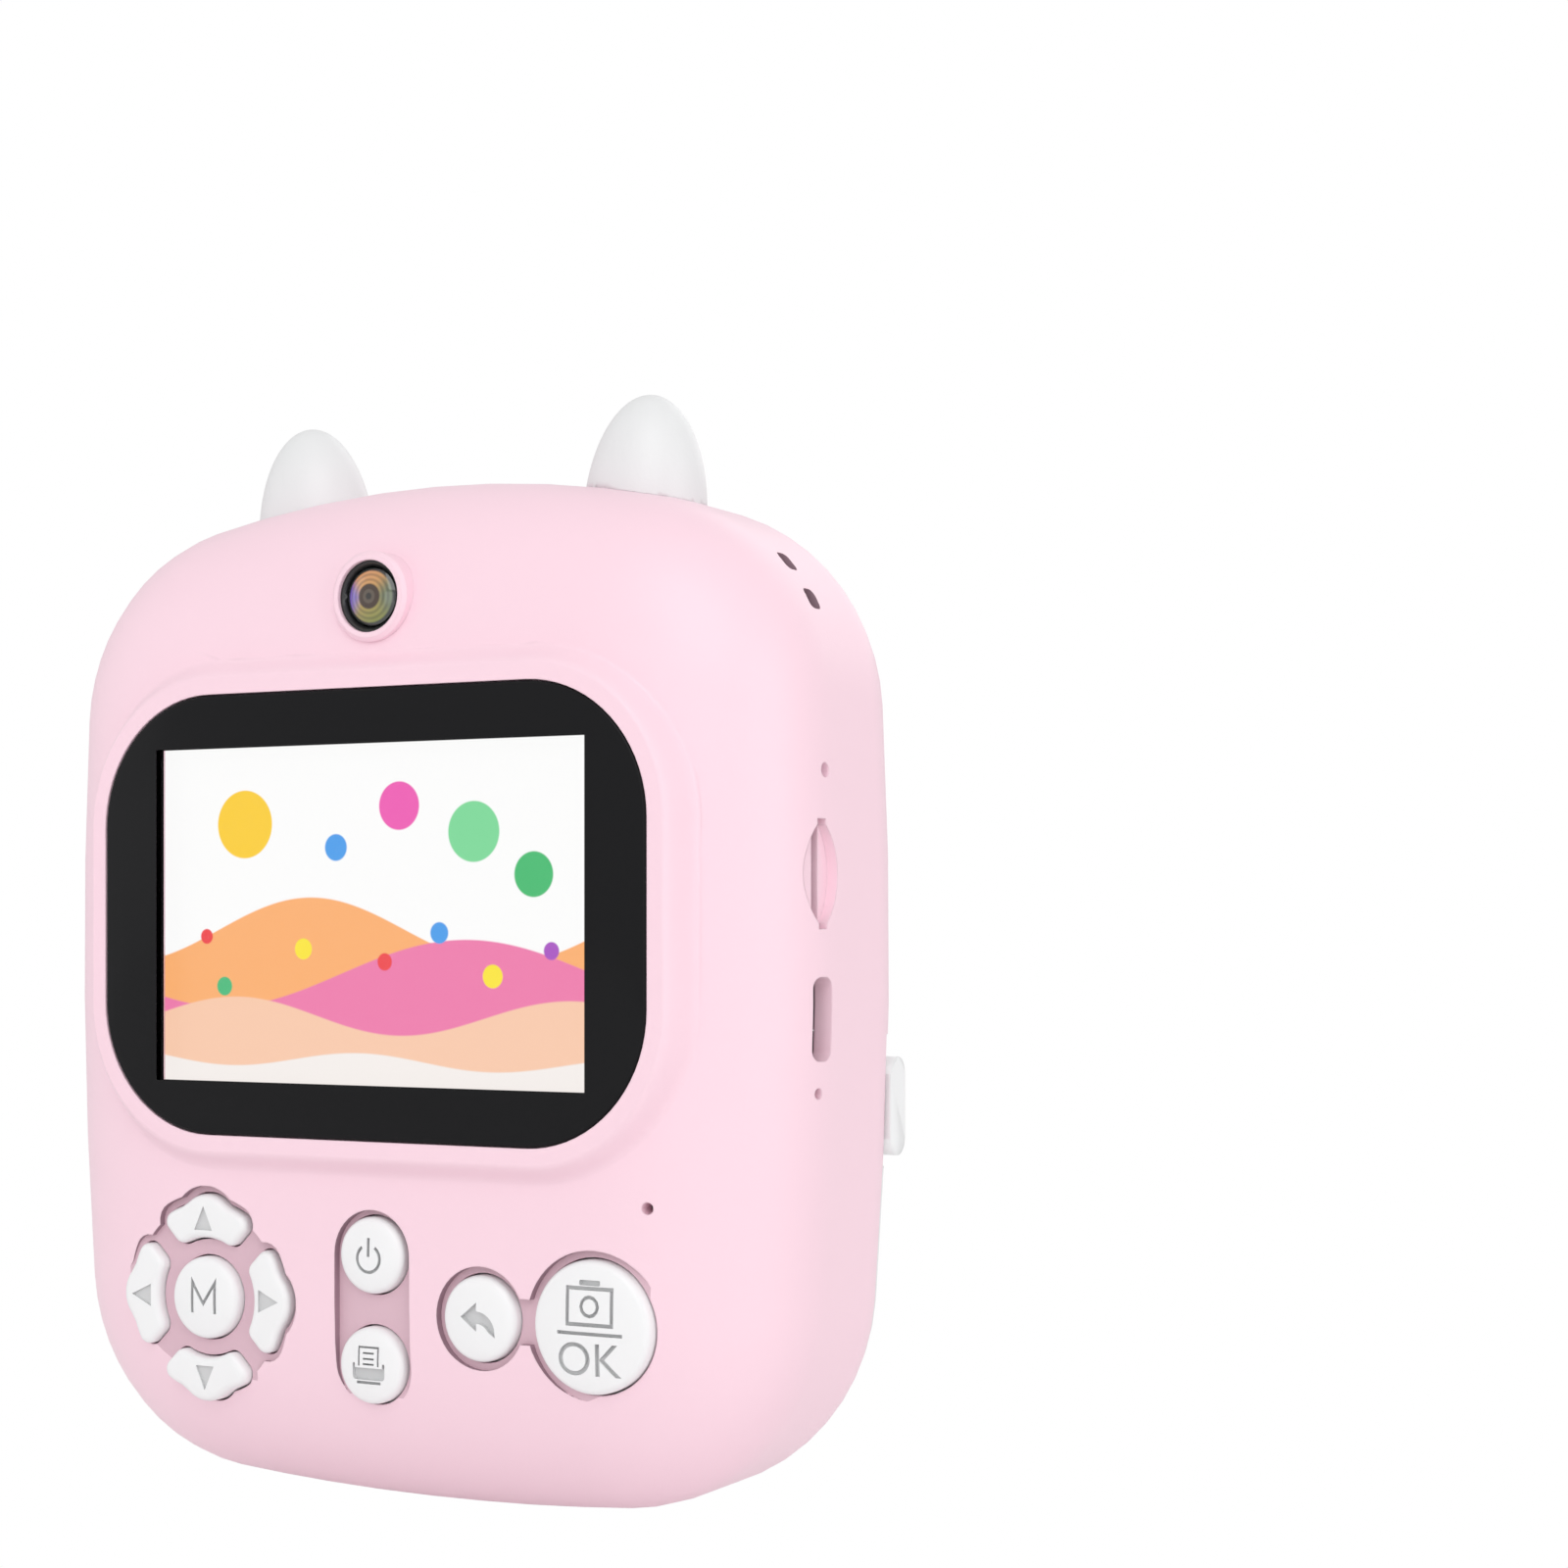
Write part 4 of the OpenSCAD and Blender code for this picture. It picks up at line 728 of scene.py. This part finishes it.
# The painted reflections of the coating reach this radius, in mm.
PAINTED_REFLECTION_R = 3.9         # the coating's pattern ends outside the glass, which is 3.04 in radius
dome = [(0, -0.5), (0.9, -0.46), (1.7, -0.35), (2.3, -0.2), (2.75, -0.02), (2.98, 0.12), (3.04, 0.25),
        (3.04, 2.4), (0, 2.4)]
selfie_glass = turned("selfie_glass", [(r, FACE_Y + depth) for r, depth in dome], 0, SELFIE_Z)
stands_for(selfie_glass, "selfie_lens", lens_finish("selfie_painted_reflection", SELFIE_Z, PAINTED_REFLECTION_R))
stands_for(cad_copy("selfie_bezel", angle=25), "selfie_bezel", black)

# ---- Keys -------------------------------------------------------------------------------
# White caps with thick rounded edges in shallow recesses: four petals round a menu key, the
# power and print keys above one another, the back key and the large shutter key. The round
# ones have a flange behind the shell, and each has a pictogram pressed into its top.
TOP = FACE_Y - 0.3      # depth of the flat part of the key tops, mm
SUNK = 0.28             # how deep the pictograms are pressed in
PETAL_FOOT, CAP_FOOT = 3.3, 3.6     # how far the two kinds reach behind the face
FLANGE, FLANGE_TOP = 0.6, 2.9       # width of a cap's flange, and how deep it begins
CAP_ROUND = 0.8         # radius of a cap's upper edge
# how high a cap's crown stands above its flat part, at shares of its radius
CROWN = ((0, 0.32), (0.35, 0.29), (0.7, 0.18))
KEYS = {"menu_key": (-21.7, 21.1, 4.4), "power_key": (0.0, 26.8, 4.0), "print_key": (0.0, 15.4, 4.0),
        "back_key": (13.4, 21.1, 4.4), "shutter_key": (26.6, 21.1, 6.7)}
PETALS = {"up_key": 0, "down_key": 180, "left_key": 90, "right_key": -90}

white_key = Finish("key_white", (0.90, 0.905, 0.91), 0.35, Coat_Weight=0.15, Coat_Roughness=0.2)
white_key.grain(2600.0, 0.000008, 0.05)
ink = Finish("key_pictogram", (0.66, 0.665, 0.67), 0.5)


def key_finishes(piece):
    piece.data.materials.append(white_key.material)
    piece.data.materials.append(ink.material)


def petal_outline():
    """Outline of the upper petal about the middle of the pad: an arc with a bump on it."""
    inner_r, outer_r, split, round_r, bump, bump_r = 6.4, 10.2, 2.0, 1.2, 7.5, 3.6

    def corner(far):
        aside = split + sqrt(2) * round_r
        x = (sqrt(2 * far * far - aside * aside) - aside) / 2
        return x, x + aside

    outer, inner = corner(outer_r - round_r), corner(inner_r + round_r)
    join = meet((0, 0), outer_r, (0, bump), bump_r, -1)
    half = (arc(*inner, round_r, angle_of(inner) + 180, 315, 8)
            + arc(*outer, round_r, -45, angle_of(outer), 8)
            + arc(0, 0, outer_r, angle_of(outer) + 3, angle_of(join) - 3, 5)
            + arc(0, bump, bump_r, angle_of((join[0], join[1] - bump)) + 10, 84, 7))
    back = arc(0, 0, inner_r, 180 - angle_of(inner), angle_of(inner), 12)
    return half + [(-x, z) for x, z in reversed(half)] + back[1:-1]


def strip(points, width, closed=False):
    """A line of that width through the points."""
    n, sides = len(points), []
    for k, (x, z) in enumerate(points):
        before = points[(k - 1) % n] if closed or k else (x, z)
        after = points[(k + 1) % n] if closed or k < n - 1 else (x, z)
        inward = Vector((x - before[0], z - before[1])).normalized()
        onward = Vector((after[0] - x, after[1] - z)).normalized()
        along = (inward + onward).normalized()
        reach = width / 2 / max(along.dot(inward if inward.length else onward), 0.3)
        sides += [(x - along.y * reach, z + along.x * reach), (x + along.y * reach, z - along.x * reach)]
    last = n if closed else n - 1
    return sides, [[2 * k, 2 * k + 1, (2 * k + 3) % (2 * n), (2 * k + 2) % (2 * n)] for k in range(last)]


def place_on(name, carrier):
    """Where the ray through an image point meets the piece that carries the thing, as x and z
    in mm; a miss takes the place nearest the ray."""
    start, way = ray_to(POINTS[name])
    corners = [vertex.co.copy() for vertex in carrier.data.vertices]
    tree = BVHTree.FromPolygons(corners, [list(face.vertices) for face in carrier.data.polygons])
    place = tree.ray_cast(start, way)[0]
    if place is None:
        near = min(corners, key=lambda corner: (corner - start).cross(way).length)
        place = tree.find_nearest(start + way * (near - start).dot(way))[0]
    return place.x / MM, place.z / MM


def press(piece, shapes):
    """Presses flat shapes into the top of a key; their floor takes the key's second finish."""
    cutter = flat("stamp", shapes, TOP - 1.2, 1.2 + SUNK)
    key_finishes(cutter)
    for face in cutter.data.polygons:
        face.material_index = 1
    apply(piece, "BOOLEAN", operation="DIFFERENCE", solver="EXACT", object=cutter, use_self=True)
    bpy.data.objects.remove(cutter)
    only(piece)
    bpy.ops.object.shade_smooth_by_angle(angle=radians(30))


def letters(text, width, height, cx, cz):
    """Plain letters as flat shapes of that size, centred on a point."""
    curve = bpy.data.curves.new("letters", "FONT")
    curve.body, curve.align_x, curve.align_y = text, "CENTER", "CENTER"
    add_piece("letters", curve)
    bpy.ops.object.convert(target="MESH")
    made = bpy.context.object
    mesh = made.data
    xs, zs = [v.co.x for v in mesh.vertices], [v.co.y for v in mesh.vertices]
    wider, higher = width / (max(xs) - min(xs)), height / (max(zs) - min(zs))
    middle_x, middle_z = (max(xs) + min(xs)) / 2, (max(zs) + min(zs)) / 2
    points = [(cx + (x - middle_x) * wider, cz + (z - middle_z) * higher) for x, z in zip(xs, zs)]
    shape = points, [list(f.vertices) for f in mesh.polygons]
    bpy.data.objects.remove(made)
    return shape


pad_x, pad_z, _ = KEYS["menu_key"]
petal = area([(pad_x + x, pad_z + z) for x, z in petal_outline()])
first = flat("petal", [petal], TOP, PETAL_FOOT - TOP + FACE_Y)
key_finishes(first)
soften(first, 0.75, 5, 50)
x, z = place_on("legend_up", first)
press(first, [area([(x - 1.2, z - 1.3), (x + 1.2, z - 1.3), (x, z + 1.3)])])
for node, turn in PETALS.items():
    piece = add_piece(node + "_piece", first.data.copy())
    c, s = cos(radians(turn)), sin(radians(turn))
    for vertex in piece.data.vertices:
        x, z = vertex.co.x - pad_x * MM, vertex.co.z - pad_z * MM
        vertex.co.x, vertex.co.z = x * c - z * s + pad_x * MM, x * s + z * c + pad_z * MM
    stands_for(piece, node)
bpy.data.objects.remove(first)


def menu_sign(x, z):
    return [strip([(x - 1.5, z - 1.65), (x - 1.5, z + 1.65), (x, z - 0.6), (x + 1.5, z + 1.65),
                   (x + 1.5, z - 1.65)], 0.36)]


def power_sign(x, z):
    return [strip(arc(x, z - 0.3, 1.4, 124, 416, 30), 0.34), strip([(x, z - 0.1), (x, z + 1.85)], 0.34)]


def print_sign(x, z):
    """A sheet with three lines of text over a printer with its tray."""
    sheet = [(x - 1.2, z - 0.05), (x - 1.2, z + 1.9), (x + 1.2, z + 1.9), (x + 1.2, z - 0.05)]
    lines = [strip([(x - 0.7, z + up), (x + 0.7, z + up)], 0.2) for up in (1.3, 0.7, 0.15)]
    tray = strip([(x - 1.5, z - 1.75), (x + 1.5, z - 1.75)], 0.3)
    sides = [area(round_box(0.3, 0.9, 0.1, x + aside, z - 0.2, 2)) for aside in (-1.85, 1.85)]
    return [strip(sheet, 0.22), *lines, area(round_box(4.0, 1.25, 0.4, x, z - 0.85, 4)), tray, *sides]


def return_sign(x, z):
    """An arrow that bends back to the left."""
    return [area([(x - 2.05, z + 0.2), (x - 0.15, z + 1.75), (x - 0.15, z + 0.95)]
                 + arc(x - 0.15, z - 1.35, 2.2, 88, 12, 8) + [(x + 2.05, z - 1.75)]
                 + arc(x - 0.1, z - 2.0, 1.6, 30, 90, 6) + [(x - 0.15, z - 1.2)])]


def camera_sign(x, z):
    """A camera over a line."""
    body = [(x - 2.55, z - 1.8), (x + 2.55, z - 1.8), (x + 2.55, z + 1.8), (x - 2.55, z + 1.8)]
    return [strip(body, 0.4, True), strip(arc(x, z, 0.95, 0, 330, 11), 0.36, True),
            area(round_box(2.4, 0.55, 0.15, x, z + 2.35, 3)),
            strip([(x - 3.75, z - 2.7), (x + 3.75, z - 2.7)], 0.36)]


def ok_sign(x, z):
    return [letters("OK", 7.2, 3.3, x, z)]


SIGNS = {"menu_key": {"legend_m": menu_sign}, "power_key": {"legend_power": power_sign},
         "print_key": {"legend_print": print_sign}, "back_key": {"legend_return": return_sign},
         "shutter_key": {"legend_camera": camera_sign, "legend_ok": ok_sign}}
for node, (cx, cz, r) in KEYS.items():
    profile = [(r * share, TOP - rise) for share, rise in CROWN]
    profile += arc(r - CAP_ROUND, FACE_Y + 0.45, CAP_ROUND, -78, 0, 6)
    profile += [(r, FACE_Y + FLANGE_TOP), (r + FLANGE, FACE_Y + FLANGE_TOP), (r + FLANGE, FACE_Y + CAP_FOOT),
                (0, FACE_Y + CAP_FOOT)]
    cap = turned(node + "_piece", profile, cx, cz)
    key_finishes(cap)
    marks = []
    for point, sign in SIGNS[node].items():
        marks += sign(*place_on(point, cap))
    press(cap, marks)
    stands_for(cap, node)

# ---- Lens group -------------------------------------------------------------------------
# A white plate let into the lens shell carries the barrel, a black bezel with the main lens,
# and a small pink cap in a ring groove.
LENS_Z, LENS_R = 85.5, 2.8
stands_for(follow_body(cad_copy("lens_plate", angle=25)), "lens_plate", white)
stands_for(cad_copy("lens_barrel", angle=25), "lens_barrel", white)
stands_for(cad_copy("lens_bezel", angle=25), "lens_bezel", black)
stands_for(cad_copy("lens_cap", angle=25), "lens_cap", pink)
stands_for(cad_copy("main_lens", angle=50), "main_lens", lens_finish("main_lens_painted_reflection", LENS_Z, LENS_R))

# ---- Latches ----------------------------------------------------------------------------
# A white slide on each side lets the door go.
for node in ("latch_left", "latch_right"):
    stands_for(cad_copy(node, angle=30), node, white)

# ---- Inside -----------------------------------------------------------------------------
# What the mouths of the ports, the sound holes and the open door show: boards, plated
# sockets, battery, speaker, the paper bay and its roll, the rubber platen and its gears.
PLAIN = {
    "steel": ((0.55, 0.56, 0.58), 0.35), "circuit_board": ((0.02, 0.16, 0.07), 0.45),
    "silicone": ((0.70, 0.70, 0.71), 0.7), "battery_foil": ((0.32, 0.36, 0.42), 0.35),
    "speaker_black": ((0.02, 0.02, 0.022), 0.6), "light_pipe": ((0.85, 0.9, 0.95), 0.2),
    "bay_plastic": ((0.78, 0.78, 0.79), 0.55), "gear_plastic": ((0.74, 0.71, 0.63), 0.5),
    "platen_rubber": ((0.03, 0.03, 0.032), 0.75), "cardboard": ((0.35, 0.24, 0.14), 0.85),
    "thermal_paper": ((0.86, 0.86, 0.84), 0.7),
}
METALS = ("steel", "battery_foil")
plain = {}
for slot, (base, gloss) in PLAIN.items():
    plain[slot] = Finish(slot, base, gloss, Metallic=1.0 if slot in METALS else 0.0)
    plain[slot].grain(1500.0, 0.00001, 0.08)
for node, obj in frame["nodes"].items():
    if not obj.hide_render and node != "lcd_panel":
        dress(node, plain[SLOTS[node]])

# ---- Image places -----------------------------------------------------------------------
# Where the visible meshes show in the image against the outline's points, the keys under the
# pictograms, and the boxes of a few CAD nodes; none of it is kept.
PORTS_X = 46.3          # where the mouths of the ports lie


def shown_at(place):
    """Where a point of the row frame shows, in image pixels."""
    local = camera.matrix_world.inverted() @ Vector(place)
    scale = LONG_SIDE * LENS / SENSOR / -local.z
    return (local.x * scale + W / 2 - camera_data.shift_x * LONG_SIDE,
            H / 2 - local.y * scale + camera_data.shift_y * LONG_SIDE)


bpy.context.view_layer.update()
seen = [shown_at(obj.matrix_world @ vertex.co) for obj in bpy.context.scene.objects
        if obj.type == "MESH" and not obj.hide_render and obj is not table_top
        for vertex in obj.data.vertices]
xs, ys = [at[0] for at in seen], [at[1] for at in seen]
for name, edge, k in (("left", min(xs), 0), ("right", max(xs), 0),
                      ("top", min(ys), 1), ("bottom", max(ys), 1)):
    [round(edge - POINTS[name][k], 1) if k == i else None for i in (0, 1)]
# each pictogram's key, and how far above the key's middle it lies
for name, node, up in (("legend_m", "menu_key", 0), ("legend_up", "menu_key", 8.6),
                       ("legend_power", "power_key", 0), ("legend_print", "print_key", 0),
                       ("legend_return", "back_key", 0), ("legend_camera", "shutter_key", 2.1),
                       ("legend_ok", "shutter_key", -3.1)):
    cx, cz, _ = KEYS[node]
for name, node in (("status_light", "status_led"), ("charging_port", "usb_socket"),
                   ("card_slot", "card_socket"), ("side_latch", "latch_right")):
    low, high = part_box(node)
    x = high.x / MM if name == "side_latch" else PORTS_X
